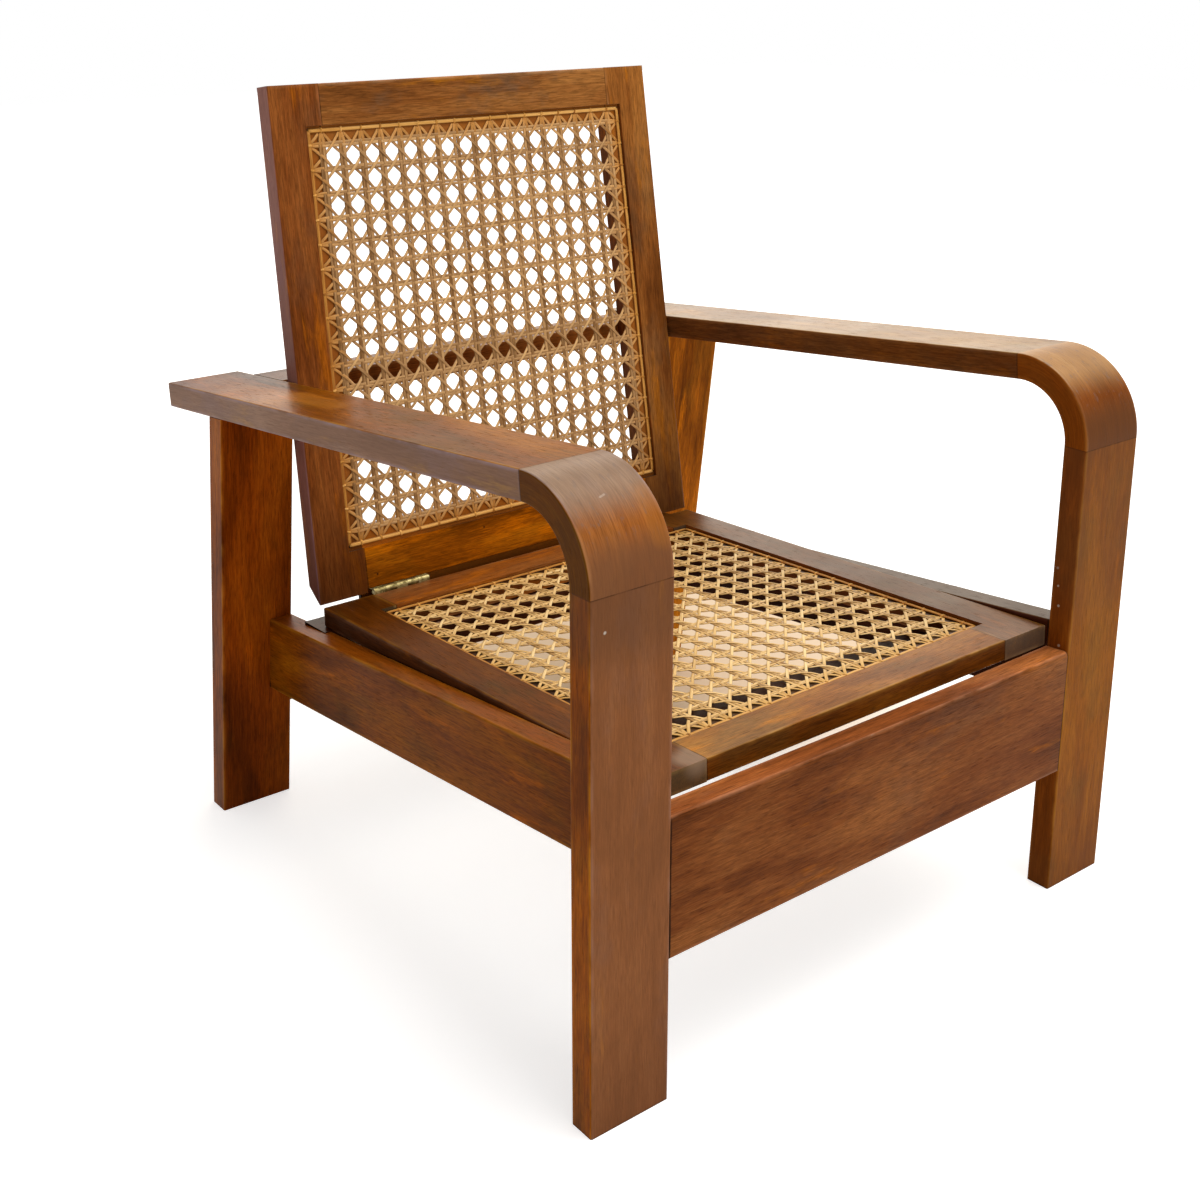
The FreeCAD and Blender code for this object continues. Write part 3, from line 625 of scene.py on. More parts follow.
@dataclass
class Board:
    """A board of the chair, as its finish sees it."""

    node: str
    grain: Grain
    tilt: float = 0.0
    finish: WoodFinish = WoodFinish()
    seed: float = 0.0
    tone: float = 0.0
    amber: float = 0.0
    smudge: float = 0.35
    wear_highlight: float = 0.5
    end_wear_highlight: float = 0.0
    joint: float = 0.0
    shoulder: float = 0.0
    darkening: float = 0.0
    scuffs: float = 0.0
    shine: float = 1.0
    calm: float = 0.0
    rebate: Rebate | None = None
    painted_light_tint: Colour = shade(1.0, 1.0, 1.0)
    bend_centre: Triple | None = None
    bend_radius: float = 0.0
    bend_half: float = 13 * MM
    centre: Triple = (0.0, 0.0, 0.0)
    size: Triple = (1.0, 1.0, 1.0)

    def measure(self, piece: bpy.types.Object) -> None:
        """Find the board's middle and its half sizes in its own frame."""
        turn = Matrix.Rotation(self.tilt, 3, "X")
        points = [turn.transposed() @ vertex.co for vertex in piece.data.vertices]
        low = Vector([min(point[axis] for point in points) for axis in range(3)])
        high = Vector([max(point[axis] for point in points) for axis in range(3)])
        self.centre = tuple(turn @ ((low + high) / 2))
        self.size = tuple((high - low) / 2)
        if self.bend_centre:
            self.centre = self.bend_centre

    def halves(self) -> Triple:
        """Half sizes along the grain, across it and through the board."""
        if self.bend_radius:
            return (1.0, self.size[0], self.bend_half)
        return tuple(self.size[axis] for axis in self.grain.order())

    def grain_direction(self) -> Triple:
        """The way that the grain runs, on the chair."""
        own = Vector([float(axis == self.grain.value) for axis in range(3)])
        return tuple(Matrix.Rotation(self.tilt, 3, "X") @ own)

    def dress(self, frame: dict[str, Any]) -> None:
        """Give the board its varnish."""
        piece = frame["nodes"][self.node]
        self.measure(piece)
        paint(piece, self.finish.material(self))


def paint(piece: bpy.types.Object, material: bpy.types.Material) -> None:
    """Put one material in every slot of a piece."""
    if not piece.material_slots:
        piece.data.materials.append(material)
    for slot in piece.material_slots:
        slot.material = material


@dataclass
class Woodwork:
    """Every board of the frame, the seat and the back."""

    arm_fall: float = math.radians(-5.9)
    leg_rake: float = math.radians(7.5)
    seat_fall: float = SEAT_TILT
    back_lean: float = math.radians(-8.2)
    bend_aside: float = 0.299
    bend_depth: float = -0.289
    bend_height: float = 0.474
    bend_radius: float = 0.067
    # The seat's near-black ledge is painted shade under the cane.
    seat_rebate: Rebate = Rebate(SEAT_ORIGIN, SEAT_TILT, shade(0.022, 0.009, 0.004), 0.85)
    back_rebate: Rebate = Rebate(BACK_ORIGIN, BACK_TILT, shade(0.36, 0.11, 0.016), 0.60)

    def boards(self) -> list[Board]:
        """The boards, with the way that their grain runs."""
        # Painted shade: this colour darkens the seat bearers, which lie in the seat's shadow.
        darkening = shade(0.18, 0.12, 0.09)
        rail = {"joint": 0.85, "shoulder": 32 * MM}
        listed = [
            Board("front_rail", Grain.X, seed=4.1, tone=0.02, joint=0.9, shoulder=20 * MM,
                  smudge=0.30, amber=-0.02),
            Board("back_rest_bar", Grain.X, self.arm_fall, seed=6.3, joint=0.8, shoulder=20 * MM),
            Board("rear_stretcher", Grain.X, self.leg_rake, seed=8.8, joint=0.8, shoulder=20 * MM),
            # The bearers under the seat carry painted shade.
            Board("front_seat_bearer", Grain.X, self.seat_fall, seed=2.6, wear_highlight=0.0, painted_light_tint=darkening),
            Board("rear_seat_bearer", Grain.X, self.seat_fall, seed=5.4, wear_highlight=0.0, painted_light_tint=darkening),
            Board("seat_front_rail", Grain.X, self.seat_fall, seed=1.9, tone=0.02, smudge=0.45,
                  rebate=self.seat_rebate, **rail),
            Board("seat_rear_rail", Grain.X, self.seat_fall, seed=7.2, tone=0.02, amber=0.06,
                  rebate=self.seat_rebate, **rail),
            Board("back_bottom_rail", Grain.X, self.back_lean, seed=3.3, tone=0.02, amber=0.08,
                  smudge=0.15, rebate=self.back_rebate, **rail),
            Board("back_top_rail", Grain.X, self.back_lean, seed=9.4, tone=0.02, amber=0.04,
                  smudge=0.55, rebate=self.back_rebate, **rail),
        ]
        for side in Side:
            turn = side.value * 0.5
            name = side.name.lower()
            bend = (side.value * self.bend_aside, self.bend_depth, self.bend_height)
            dull = side is Side.RIGHT
            listed += [
                Board(f"{name}_front_leg", Grain.Z, seed=11.2 + turn, joint=0.6, smudge=0.45,
                      darkening=0.25, amber=-0.02, calm=0.0 if dull else 0.4),
                Board(f"{name}_arm_corner", Grain.Y, seed=13.5 + turn, bend_centre=bend,
                      bend_radius=self.bend_radius, amber=-0.01, smudge=0.3, scuffs=0.6,
                      shine=2.4 if dull else 1.5, calm=0.4),
                Board(f"{name}_arm", Grain.Y, self.arm_fall, seed=15.7 + turn, joint=0.8,
                      amber=0.03, end_wear_highlight=0.3, shine=1.0 if dull else 4.5),
                Board(f"{name}_rear_leg", Grain.Z, self.leg_rake, seed=17.9 + turn, tone=0.01,
                      amber=-0.03, smudge=0.2, darkening=0.3, end_wear_highlight=0.35),
                Board(f"{name}_side_rail", Grain.Y, self.arm_fall, seed=21.3 + turn, joint=0.8,
                      shoulder=12 * MM, shine=1.0 if dull else 2.5),
                Board(f"{name}_seat_stile", Grain.Y, self.seat_fall, seed=23.6 + turn, tone=-0.02,
                      smudge=0.6, end_wear_highlight=0.5, rebate=self.seat_rebate,
                      shine=1.0 if dull else 2.2),
                # The back stiles' strong darkening towards the foot is painted shade.
                Board(f"{name}_back_stile", Grain.Z, self.back_lean, seed=26.1 + turn, tone=0.02,
                      amber=0.05, end_wear_highlight=0.5, darkening=0.75, rebate=self.back_rebate),
            ]
        return listed

    def build(self, frame: dict[str, Any]) -> None:
        """Dress every board and the pegs in the arm corners."""
        for board in self.boards():
            board.dress(frame)
            LOG.info("board %s dressed", board.node)
        for side in Side:
            name = f"{side.name.lower()}_corner_dowels"
            Board(name, Grain.Z, seed=30.0 + side.value, finish=WoodFinish(
                dark=shade(0.20, 0.10, 0.04), middle=shade(0.38, 0.22, 0.10),
                light=shade(0.50, 0.32, 0.16))).dress(frame)
            LOG.info("pegs %s dressed", name)


@dataclass(frozen=True)
class CaneFinish:
    """Natural cane: a pale glossy bark with long fibres, a few brown nodes and painted shade along
    the edges of each strand.
    """

    name: str
    dark: Colour
    middle: Colour
    light: Colour
    rim: Colour
    sheen: Colour = shade(1.0, 0.75, 0.45)
    roughness: float = 0.42
    gloss: float = 0.22
    relief: float = 0.05 * MM
    edge_shade_band: tuple[float, float] = (1.2 * MM, 1.8 * MM)

    def material(self) -> bpy.types.Material:
        """The finish of woven strands, read from their own length and width."""
        tree = ShaderTree(self.name)
        along, across, tone = (tree.attribute(name) for name in ("along", "across", "tone"))
        point = tree.combine(along, across, tone)
        streak = tree.noise(point, (14, 1150, 37), detail=3.0, roughness=0.65)
        patch = tree.noise(point, (22, 90, 53), detail=2.0)
        value = tree.math("ADD", tree.product(streak, 0.55), tree.product(patch, 0.30))
        value = tree.math("ADD", value, tree.between(tone, -0.06, 0.22))
        colour = tree.ramp(value, [(0.32, self.dark), (0.50, self.middle), (0.66, self.light)])
        colour = tree.cover(colour, self.rim, tree.attribute("rim"), 0.8)
        recolour = tree.rise(tree.noise(point, (9, 0.0, 91), (3, 0, 0), detail=4.0), 0.66, 0.78)
        colour = tree.cover(colour, self.dark, recolour, 0.55)
        # Painted shade: each strand darkens towards its edges, where the strands shade one
        # another.
        edge = tree.rise(tree.math("ABSOLUTE", across), *self.edge_shade_band)
        colour = tree.cover(colour, self.dark, edge, 0.82)
        tree.surface("Base Color", colour)
        rough = tree.between(patch, self.roughness - 0.12, self.roughness + 0.15)
        tree.surface("Roughness", rough)
        tree.surface("Specular IOR Level", self.gloss)
        tree.surface("Specular Tint", self.sheen)
        tree.surface("Normal", tree.bump(streak, self.relief))
        return tree.material


SEAT_CANE = CaneFinish("seat_cane_bark", shade(0.23, 0.100, 0.022), shade(0.74, 0.455, 0.165),
                       shade(0.95, 0.69, 0.33), shade(0.68, 0.36, 0.08))
BACK_CANE = CaneFinish("back_cane_bark", shade(0.19, 0.085, 0.025), shade(0.48, 0.265, 0.108),
                       shade(0.66, 0.39, 0.16), shade(0.55, 0.22, 0.032))
BORDER_CANE = CaneFinish("border_cane_bark", shade(0.26, 0.08, 0.01), shade(0.58, 0.26, 0.045),
                         shade(0.82, 0.45, 0.13), shade(0.58, 0.26, 0.045))


@dataclass(frozen=True)
class Station:
    """One cross section of a strand."""

    point: Vector
    width: float
    depth: float
    rim: float = 0.0


class StrandSheaf:
    """Strands of cane, swept one by one and gathered in one mesh."""

    PROFILE = ((-0.5, -0.42), (-0.5, 0.05), (-0.36, 0.36), (0.0, 0.5), (0.36, 0.36), (0.5, 0.05),
               (0.5, -0.42))
    LAYERS = ("along", "across", "tone", "rim")
    TONE_SHIFT = 7.0

    def __init__(self, name: str) -> None:
        """Start an empty sheaf."""
        self.name = name
        self.meshes: list[bpy.types.Mesh] = []

    @staticmethod
    def section_frame(station: Station, tangent: Vector, side: Vector | None) -> Matrix:
        """The matrix that puts the profile at a station.

        Args:
            station: the place and size of the section.
            tangent: the way that the strand runs there.
            side: the way that its width lies, or None for level.

        Returns:
            A matrix from the profile's plane.
        """
        across = side or tangent.cross(Vector((0.0, 0.0, 1.0))).normalized()
        up = across.cross(tangent).normalized()
        columns = (across * station.width, up * station.depth, tangent * station.depth)
        made = Matrix.Identity(4)
        for index, column in enumerate(columns):
            for row in range(3):
                made[row][index] = column[row]
        made.translation = station.point
        return made

    def add(self, stations: Sequence[Station], tone: float, side: Vector | None = None) -> None:
        """Sweep one strand.

        Args:
            stations: its cross sections in order.
            tone: how light this strand is, from nought to one.
            side: the way that its width lies, or None for level.
        """
        points = [station.point for station in stations]
        frames = []
        for index, station in enumerate(stations):
            before, after = points[max(index - 1, 0)], points[min(index + 1, len(points) - 1)]
            frames.append(self.section_frame(station, (after - before).normalized(), side))
        strand = bmesh.new()
        layers = strand.verts.layers.float
        along, across, light, rim = [layers.new(name) for name in self.LAYERS]
        travelled = tone * self.TONE_SHIFT
        ring = []
        for x, y in self.PROFILE:
            vertex = strand.verts.new(frames[0] @ Vector((x, y, 0.0)))
            vertex[along] = travelled
            vertex[across] = x * stations[0].width
            vertex[light] = tone
            vertex[rim] = stations[0].rim
            ring.append(vertex)
        edges = [strand.edges.new((ring[i], ring[(i + 1) % len(ring)])) for i in range(len(ring))]
        for index in range(1, len(frames)):
            made = bmesh.ops.extrude_edge_only(strand, edges=edges)["geom"]
            ring = [item for item in made if isinstance(item, bmesh.types.BMVert)]
            edges = [item for item in made if isinstance(item, bmesh.types.BMEdge)]
            step = frames[index] @ frames[index - 1].inverted()
            bmesh.ops.transform(strand, matrix=step, verts=ring)
            travelled += (points[index] - points[index - 1]).length
            for vertex in ring:
                vertex[along] = travelled
                vertex[rim] = stations[index].rim
        mesh = bpy.data.meshes.new("strand")
        strand.to_mesh(mesh)
        strand.free()
        self.meshes.append(mesh)

    def gather(self, place: Matrix) -> bpy.types.Object:
        """Join the strands in one piece.

        Args:
            place: the matrix from the panel's own frame to the chair.

        Returns:
            The piece.
        """
        whole = bmesh.new()
        for mesh in self.meshes:
            whole.from_mesh(mesh)
            bpy.data.meshes.remove(mesh)
        open_edges = [edge for edge in whole.edges if edge.is_boundary]
        bmesh.ops.holes_fill(whole, edges=open_edges)
        bmesh.ops.transform(whole, matrix=place, verts=whole.verts)
        bmesh.ops.recalc_face_normals(whole, faces=whole.faces)
        for face in whole.faces:
            face.smooth = True
        return make_piece(self.name, whole)


def make_piece(name: str, mesh: bmesh.types.BMesh) -> bpy.types.Object:
    """Turn a bmesh into a piece of the scene.

    Args:
        name: the piece's name.
        mesh: the bmesh, which is freed.

    Returns:
        The piece, at the origin.
    """
    data = bpy.data.meshes.new(name)
    mesh.to_mesh(data)
    mesh.free()
    piece = bpy.data.objects.new(name, data)
    bpy.context.scene.collection.objects.link(piece)
    LOG.info("piece %s: %d faces", name, len(data.polygons))
    return piece


@dataclass
class CanePanel:
    """Cane woven by hand in a rebated frame: y runs from the foot and z from the face."""

    name: str
    body: str
    finish: CaneFinish
    foot_width: float
    taper: float
    length: float
    thickness: float
    stile: float
    foot_rail: float
    head_rail: float
    origin: Triple
    tilt: float
    proud: float
    seed: int
    cells: int = 16
    setback: float = 14.8 * MM
    ledge: float = -5.0 * MM
    plane: float = -3.55 * MM
    upright_width: float = 3.95 * MM
    crossing_width: float = 3.15 * MM
    strand_width: float = 3.35 * MM
    strand_depth: float = 0.74 * MM
    pair_offset: float = 0.485
    crossing_reach: float = 0.09
    weave_lift: float = 0.40 * MM
    diagonal_lift: float = 0.82 * MM
    rising_layer: float = 0.45 * MM
    falling_layer: float = 0.15 * MM
    hole_depth: float = -7.0 * MM
    hole_share: float = 0.98
    ledge_share: float = 0.68
    ledge_gap: float = 0.1 * MM
    ledge_rise: float = 0.75 * MM
    binding_width: float = 4.7 * MM
    binding_depth: float = 1.4 * MM
    stitch_depth: float = 0.6 * MM
    paleness: float = 0.0
    dice: random.Random = field(init=False)

    BORDER_STEPS = (0.16, 0.32, 0.42, 0.5)
    BINDING_SAG = ((0.0, -3.75), (0.25, -3.45), (0.5, -3.35), (0.75, -3.45))
    STITCH_ARC = ((-2.3, -6.0), (-2.75, -4.1), (-2.3, -3.15), (-1.2, -2.68), (0.0, -2.55),
                  (1.2, -2.68), (2.3, -3.15), (2.75, -4.1), (2.3, -6.0))

    def __post_init__(self) -> None:
        """Seed the panel's own small differences."""
        self.dice = random.Random(self.seed)

    def matrix(self) -> Matrix:
        """The matrix from the panel's own frame to the chair."""
        return Matrix.Translation(self.origin) @ Matrix.Rotation(self.tilt, 4, "X")

    def half_opening(self, y: float) -> float:
        """Half the width of the opening at a distance from the foot."""
        return (self.foot_width - self.taper * y / self.length) / 2 - self.stile

    def place(self, column: float, row: float) -> tuple[float, float]:
        """Where a column line crosses a row line; half a step outside is a hole.

        Args:
            column: steps from the opening's first side.
            row: steps from the opening's foot.

        Returns:
            Its x and y.
        """
        high = self.length - self.head_rail
        if row < 0:
            y = self.foot_rail + 2 * row * self.setback
        elif row > self.cells:
            y = high + 2 * (row - self.cells) * self.setback
        else:
            y = self.foot_rail + row * (high - self.foot_rail) / self.cells
        half = self.half_opening(y)
        if column < 0:
            return 2 * column * self.setback - half, y
        if column > self.cells:
            return half + 2 * (column - self.cells) * self.setback, y
        return (2 * column / self.cells - 1) * half, y

    def sway(self) -> Triple:
        """A strand's own wander: its size, its pace and its start."""
        return (self.dice.uniform(0.04, 0.18) * MM, self.dice.uniform(45, 95),
                self.dice.uniform(0, 2 * math.pi))

    def strand_tone(self) -> float:
        """How light the next strand is, from nought to one."""
        return self.paleness + 0.5 * self.dice.random()

    def border_height(self, outside: float, layer: float) -> float:
        """How a strand sinks from the weave to its hole, by its share of the way out."""
        if outside >= self.hole_share:
            return self.hole_depth
        if outside >= self.ledge_share:
            return self.ledge + self.ledge_gap + layer
        return self.plane + (self.ledge + self.ledge_rise + layer - self.plane) * outside

    def pair_steps(self) -> list[float]:
        """The steps along a paired strand, closer where it passes over and under."""
        near, far = 0.068, 0.165
        inner = []
        for line in range(self.cells + 1):
            inner += [line - far, line - near, float(line), line + near, line + far]
            if line < self.cells:
                inner.append(line + 0.5)
        inner = [step for step in inner if -0.1 < step < self.cells + 0.1]
        before = [-step for step in reversed(self.BORDER_STEPS)]
        return before + inner + [self.cells + step for step in self.BORDER_STEPS]

    def outside(self, step: float) -> float:
        """How far outside the opening a step lies, as a share of the way to the hole."""
        return max(0.0, -2 * step, 2 * (step - self.cells))

    def rim_share(self, step: float) -> float:
        """How near the panel's rim a step lies, from nought well inside to one at the hole."""
        inward = min(step, self.cells - step)
        return max(0.0, min(1.0, 0.45 - 1.1 * inward))

    def pair_strand(self, sheaf: StrandSheaf, line: int, part: int, upright: bool) -> None:
        """Sweep one strand of a pair.

        Args:
            sheaf: what gathers it.
            line: which column or row it follows.
            part: minus one or one, its place in the pair.
            upright: whether it runs from foot to head.
        """
        size, pace, start = self.sway()
        full = self.upright_width if upright else self.crossing_width
        width = full * self.dice.uniform(0.94, 1.03)
        stations = []
        for step in self.pair_steps():
            x, y = self.place(line, step) if upright else self.place(step, line)
            out = self.outside(step)
            drift = part * full * self.pair_offset * min(1.0, 1.35 * (1 - out))
            drift += size * math.sin(pace * step * 0.025 + start) * (1 - out)
            if upright:
                x += drift
            else:
                y += drift
            z = self.plane
            nearest = round(step)
            if out == 0 and abs(step - nearest) < self.crossing_reach:
                passing = 1 if step > nearest else -1
                over = part * passing > 0
                lift = self.weave_lift if step != nearest else 0.0
                z += lift if over == upright else -lift
            if out > 0:
                z = self.border_height(out, 0.0)
            stations.append(Station(Vector((x, y, z)), width, self.strand_depth,
                                    self.rim_share(step)))
        sheaf.add(stations, self.strand_tone())

    def diagonal(self, sheaf: StrandSheaf, line: float, rising: bool) -> None:
        """Sweep one diagonal strand, tied in a hole at both ends.

        Args:
            sheaf: what gathers it.
            line: its column less its row, or their sum where it falls.
            rising: whether it climbs to the right.
        """
        low, high = -0.5, self.cells + 0.5
        if rising:
            start, end = max(low, line + low), min(high, line + high)
        else:
            start, end = max(low, line - high), min(high, line - low)
        size, pace, phase = self.sway()
        width = self.strand_width * self.dice.uniform(0.90, 1.04)
        layer = self.rising_layer if rising else self.falling_layer
        count = max(4, round((end - start) * 8))
        sign = 1 if rising else -1
        stations = []
        for index in range(count + 1):
            column = start + (end - start) * index / count
            row = column - line if rising else line - column
            x, y = self.place(column, row)
            out = max(self.outside(column), self.outside(row))
            wave = max(-1.0, min(1.0, -1.6 * math.cos(2 * math.pi * column)))
            drift = size * math.sin(pace * column * 0.04 + phase) * (1 - out)
            z = self.plane + sign * wave * self.diagonal_lift
            if out > 0:
                z = self.border_height(out, layer)
            rim = max(self.rim_share(column), self.rim_share(row))
            stations.append(Station(Vector((x + drift, y - sign * drift, z)), width,
                                    self.strand_depth * 0.9, rim))
        sheaf.add(stations, self.strand_tone())

    def weave(self) -> list[bpy.types.Object]:
        """The uprights, the level strands and the diagonals."""
        pieces = []
        for part_name, upright, self.paleness in (("uprights", True, 0.0),
                                                  ("crossings", False, 0.25)):
            sheaf = StrandSheaf(f"{self.name}_cane_{part_name}")
            for line in range(self.cells + 1):
                for part in (-1, 1):
                    self.pair_strand(sheaf, line, part, upright)
            pieces.append(sheaf.gather(self.matrix()))
        for part_name, rising, self.paleness in (("rising", True, 0.5), ("falling", False, 0.15)):
            sheaf = StrandSheaf(f"{self.name}_cane_{part_name}")
            for count in range(2 * self.cells + 2):
                line = count - self.cells - 0.5 if rising else count - 0.5
                self.diagonal(sheaf, line, rising)
            pieces.append(sheaf.gather(self.matrix()))
        return pieces

    def hole_rows(self) -> list[tuple[Vector, Vector, list[Vector]]]:
        """Each side's outward way, its run and its holes, in the panel's own frame."""
        last = self.cells + 0.5
        steps = list(range(self.cells + 1))
        sides = [
            (Vector((0, -1, 0)), [self.place(step, -0.5) for step in steps]),
            (Vector((1, 0, 0)), [self.place(last, step) for step in steps]),
            (Vector((0, 1, 0)), [self.place(step, last) for step in reversed(steps)]),
            (Vector((-1, 0, 0)), [self.place(-0.5, step) for step in reversed(steps)]),
        ]
        rows = []
        for outward, holes in sides:
            points = [Vector((x, y, 0.0)) for x, y in holes]
            rows.append((outward, (points[-1] - points[0]).normalized(), points))
        return rows

    def corners(self) -> list[Vector]:
        """The corner holes in order."""
        last = self.cells + 0.5
        marks = ((-0.5, -0.5), (last, -0.5), (last, last), (-0.5, last))
        return [Vector((*self.place(*mark), 0.0)) for mark in marks]

    def binding(self) -> bpy.types.Object:
        """The binding strip along each side, pressed down at every hole."""
        sheaf = StrandSheaf(f"{self.name}_binding_strip")
        corners = self.corners()
        for index, (_, _, holes) in enumerate(self.hole_rows()):
            marks = [corners[index], *holes, corners[(index + 1) % len(corners)]]
            spots = [(first.lerp(second, share), height) for first, second in zip(marks, marks[1:])
                     for share, height in self.BINDING_SAG]
            spots.append((marks[-1], self.BINDING_SAG[0][1]))
            sheaf.add([Station(point + Vector((0, 0, height * MM)), self.binding_width,
                               self.binding_depth) for point, height in spots],
                      self.dice.random())
        return sheaf.gather(self.matrix())

    def stitches(self) -> bpy.types.Object:
        """The loops that tie the binding down at every hole."""
        sheaf = StrandSheaf(f"{self.name}_binding_stitches")
        for outward, run, holes in self.hole_rows():
            for hole in holes:
                lean = run * self.dice.uniform(-0.5, 0.5) * MM
                stations = []
                for reach, height in self.STITCH_ARC:
                    shift = outward * reach * MM + lean * (reach / 2.3)
                    point = hole + shift + Vector((0, 0, height * MM))
                    width = self.dice.uniform(2.1, 2.5) * MM
                    stations.append(Station(point, width, self.stitch_depth))
                sheaf.add(stations, self.dice.random(), side=-run)
        return sheaf.gather(self.matrix())

    def rear_loops(self) -> bpy.types.Object:
        """The runs of cane from hole to hole on the far side of the frame."""
        sheaf = StrandSheaf(f"{self.name}_rear_loops")
        level = Vector((0, 0, -self.thickness - self.proud))
        tuck = Vector((0, 0, -self.thickness + 3 * MM))
        for outward, _, holes in self.hole_rows():
            for first, second in zip(holes, holes[1:]):
                shift = outward * self.dice.uniform(-0.8, 0.8) * MM
                marks = [first + tuck, first.lerp(second, 0.04) + level,
                         first.lerp(second, 0.5) + shift + level,
                         first.lerp(second, 0.96) + level, second + tuck]
                stations = [Station(mark, self.strand_width, self.strand_depth) for mark in marks]
                sheaf.add(stations, self.dice.random())
        return sheaf.gather(self.matrix())

    def build(self) -> None:
        """Weave the panel and hang its pieces on their body."""
        finish = self.finish.material()
        border = BORDER_CANE.material()
        for piece in self.weave():
            paint(piece, finish)
            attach(piece, self.body)
            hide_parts(f"{self.name}_cane")
        for piece in (self.binding(), self.stitches()):
            paint(piece, border)
            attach(piece, self.body)
            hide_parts(f"{self.name}_cane_binding")
        loops = self.rear_loops()
        paint(loops, finish)
        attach(loops, self.body)


@dataclass(frozen=True)
class BrassFinish:
    """Old brass, dulled in patches."""

    dark: Colour = shade(0.12, 0.09, 0.03)
    middle: Colour = shade(0.34, 0.27, 0.11)
    light: Colour = shade(0.50, 0.43, 0.22)
    relief: float = 0.02 * MM

    def material(self, name: str) -> bpy.types.Material:
        """The finish of the leaves, pins and screws."""
        tree = ShaderTree(name)
        point = tree.object_point()
        tarnish = tree.noise(point, (160, 160, 160), detail=4.0, roughness=0.6)
        stops = [(0.35, self.dark), (0.52, self.middle), (0.70, self.light)]
        tree.surface("Base Color", tree.ramp(tarnish, stops))
        tree.surface("Metallic", 1.0)
        tree.surface("Roughness", tree.between(tarnish, 0.62, 0.36))
        scratches = tree.noise(point, (90, 2400, 2400), detail=2.0)
        tree.surface("Normal", tree.bump(scratches, self.relief))
        return tree.material


@dataclass
class Hinges:
    """The two brass butt hinges between the seat and the back."""

    def build(self, frame: dict[str, Any]) -> None:
        """Dress the leaves, pins and screws."""
        brass = BrassFinish().material("dull_brass")
        screws = BrassFinish().material("dull_brass_screws")
        dressed = {f"{side.name.lower()}_{piece}": brass for side in Side
                   for piece in ("seat_hinge_leaf", "back_hinge_leaf", "hinge_pin")}
        dressed |= {"seat_hinge_screws": screws, "back_hinge_screws": screws}
        for node, material in dressed.items():
            paint(frame["nodes"][node], material)
            LOG.info("hinge piece %s dressed", node)


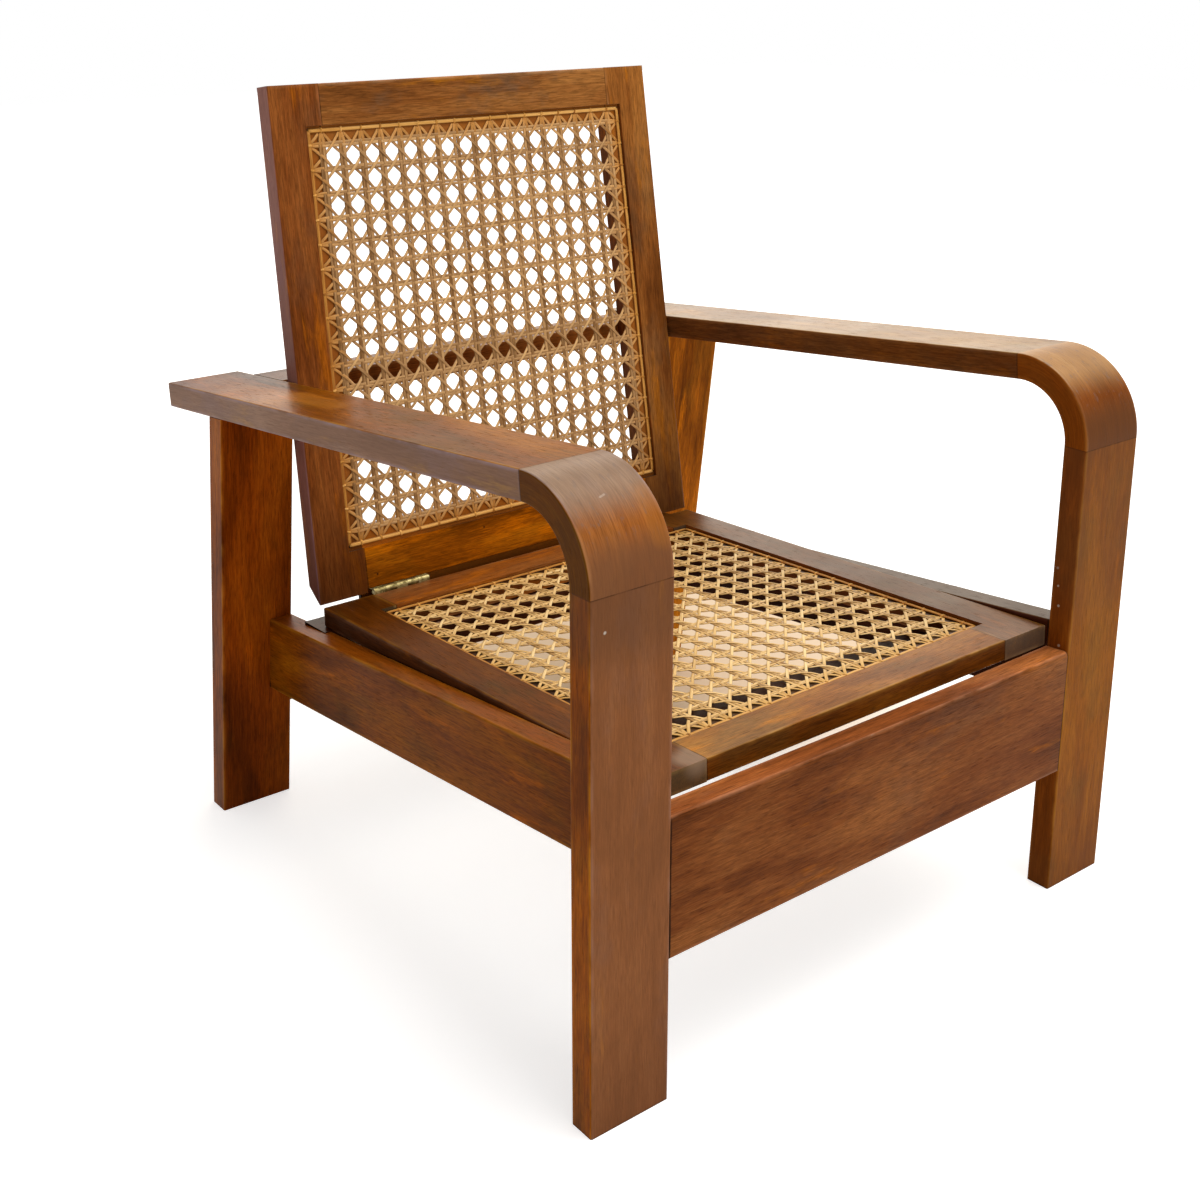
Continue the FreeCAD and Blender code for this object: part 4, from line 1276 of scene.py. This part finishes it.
@dataclass
class Studio:
    """A plain pale floor and backdrop, soft lamps and the camera."""

    eye: Triple = (-1.0174, -1.2416, 0.9325)
    yaw: float = math.radians(38.2)
    pitch: float = math.radians(16.66)
    lens: float = 48.71
    shift: float = -0.138
    room_light: float = 0.42
    painted_shadow_centre: Triple = (0.37, 0.33, 0.0)
    painted_shadow_edge: tuple[float, float] = (0.27, 0.40)
    fade: tuple[float, float] = (1.0, 2.2)

    def floor(self) -> None:
        """Lay a pale floor that keeps the chair's shadow, with a painted warm shadow under the
        chair.
        """
        sheet = bmesh.new()
        bmesh.ops.create_grid(sheet, x_segments=1, y_segments=1, size=9.0)
        piece = make_piece("studio_floor", sheet)
        tree = ShaderTree("pale_floor")
        point = tree.object_point()
        mottle = tree.noise(point, (2, 2, 2), detail=2.0)
        pale = tree.ramp(mottle, [(0.3, shade(0.80, 0.79, 0.77)), (0.7, shade(0.82, 0.81, 0.79))])
        # Painted shadow: inside this round patch under the chair the floor is tan and its glow
        # falls almost to nothing.
        distance = tree.vector("DISTANCE", point, self.painted_shadow_centre)
        outside_painted_shadow = tree.rise(distance, *self.painted_shadow_edge)
        tree.surface("Base Color", tree.mix(outside_painted_shadow, shade(0.77, 0.61, 0.45), pale))
        tree.surface("Roughness", 0.9)
        tree.surface("Specular IOR Level", 0.0)
        near = tree.mix(outside_painted_shadow, shade(0.07, 0.04, 0.01), shade(0.62, 0.62, 0.62))
        white = tree.mix(tree.rise(distance, *self.fade), near, shade(1, 1, 1))
        glow = tree.node("ShaderNodeEmission", {"Color": white, "Strength": tree.seen()})
        both = tree.node("ShaderNodeAddShader", {0: tree.shader.outputs[0], 1: glow.outputs[0]})
        tree.feed(tree.output.inputs["Surface"], both.outputs[0])
        paint(piece, tree.material)

    def surroundings(self) -> None:
        """A white room that gives an even light."""
        world = bpy.data.worlds.new("white_room")
        world.use_nodes = True
        bpy.context.scene.world = world
        tree = NodeTree(world.node_tree)
        light, wall = (tree.node("ShaderNodeBackground", {"Color": shade(1, 1, 1),
                                                          "Strength": strength}).outputs[0]
                       for strength in (self.room_light, 1.0))
        chosen = tree.node("ShaderNodeMixShader", {0: tree.seen(), 1: light, 2: wall})
        tree.node("ShaderNodeOutputWorld", {"Surface": chosen.outputs[0]})

    def lamp(self, name: str, place: Sequence[float], aim: Sequence[float], size: float,
             power: float, colour: Triple = (1.0, 1.0, 1.0)) -> None:
        """Hang one soft square lamp.

        Args:
            name: the lamp's name.
            place: where it hangs.
            aim: what it points at.
            size: the length of its side.
            power: its power in watts.
            colour: the colour of its light.
        """
        data = bpy.data.lights.new(name, "AREA")
        data.shape = "SQUARE"
        data.size = size
        data.energy = power
        data.color = colour
        lamp = bpy.data.objects.new(name, data)
        bpy.context.scene.collection.objects.link(lamp)
        lamp.location = place
        way = Vector(aim) - Vector(place)
        lamp.rotation_euler = way.to_track_quat("-Z", "Y").to_euler()

    def camera(self) -> None:
        """Set the camera where the photograph was taken."""
        data = bpy.data.cameras.new("view")
        data.sensor_width = 36.0
        data.sensor_fit = "HORIZONTAL"
        data.lens = self.lens
        data.shift_y = self.shift
        data.clip_end = 50.0
        eye = bpy.data.objects.new("view", data)
        bpy.context.scene.collection.objects.link(eye)
        eye.location = self.eye
        eye.rotation_euler = (math.pi / 2 - self.pitch, 0.0, -self.yaw)
        bpy.context.scene.camera = eye

    def build(self) -> None:
        """Set up the floor, the light and the camera."""
        self.floor()
        self.surroundings()
        self.lamp("overhead", (0.7, -0.5, 2.5), aim=(0.0, 0.0, 0.3), size=2.0, power=48.0)
        self.lamp("behind", (1.9, 2.4, 1.9), aim=(0.0, 0.0, 0.5), size=2.6, power=32.0,
                  colour=(1.0, 0.86, 0.66))
        self.lamp("front", (0.2, -3.0, 1.3), aim=(0.0, 0.0, 0.35), size=1.6, power=20.0)
        self.camera()
        bpy.context.scene.view_settings.view_transform = "Standard"
        LOG.info("studio ready")


def main() -> None:
    """Build and dress the chair."""
    logging.basicConfig(level=logging.INFO, format="%(name)s: %(message)s")
    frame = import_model()
    Woodwork().build(frame)
    seat = CanePanel(
        name="seat", body="seat", finish=SEAT_CANE, foot_width=514 * MM, taper=0.0,
        length=541 * MM, thickness=21 * MM, stile=62 * MM, foot_rail=65 * MM,
        head_rail=65 * MM, origin=SEAT_ORIGIN, tilt=SEAT_TILT, proud=0.0, seed=3)
    back = CanePanel(
        name="back", body="back", finish=BACK_CANE, foot_width=515 * MM, taper=21 * MM,
        length=540 * MM, thickness=23 * MM, stile=58.5 * MM, foot_rail=66.5 * MM,
        head_rail=62.5 * MM, origin=BACK_ORIGIN, tilt=BACK_TILT, proud=0.35 * MM, seed=8,
        upright_width=4.25 * MM)
    for panel in (seat, back):
        panel.build()
    Hinges().build(frame)
    Studio().build()


if __name__ == "__main__":
    main()
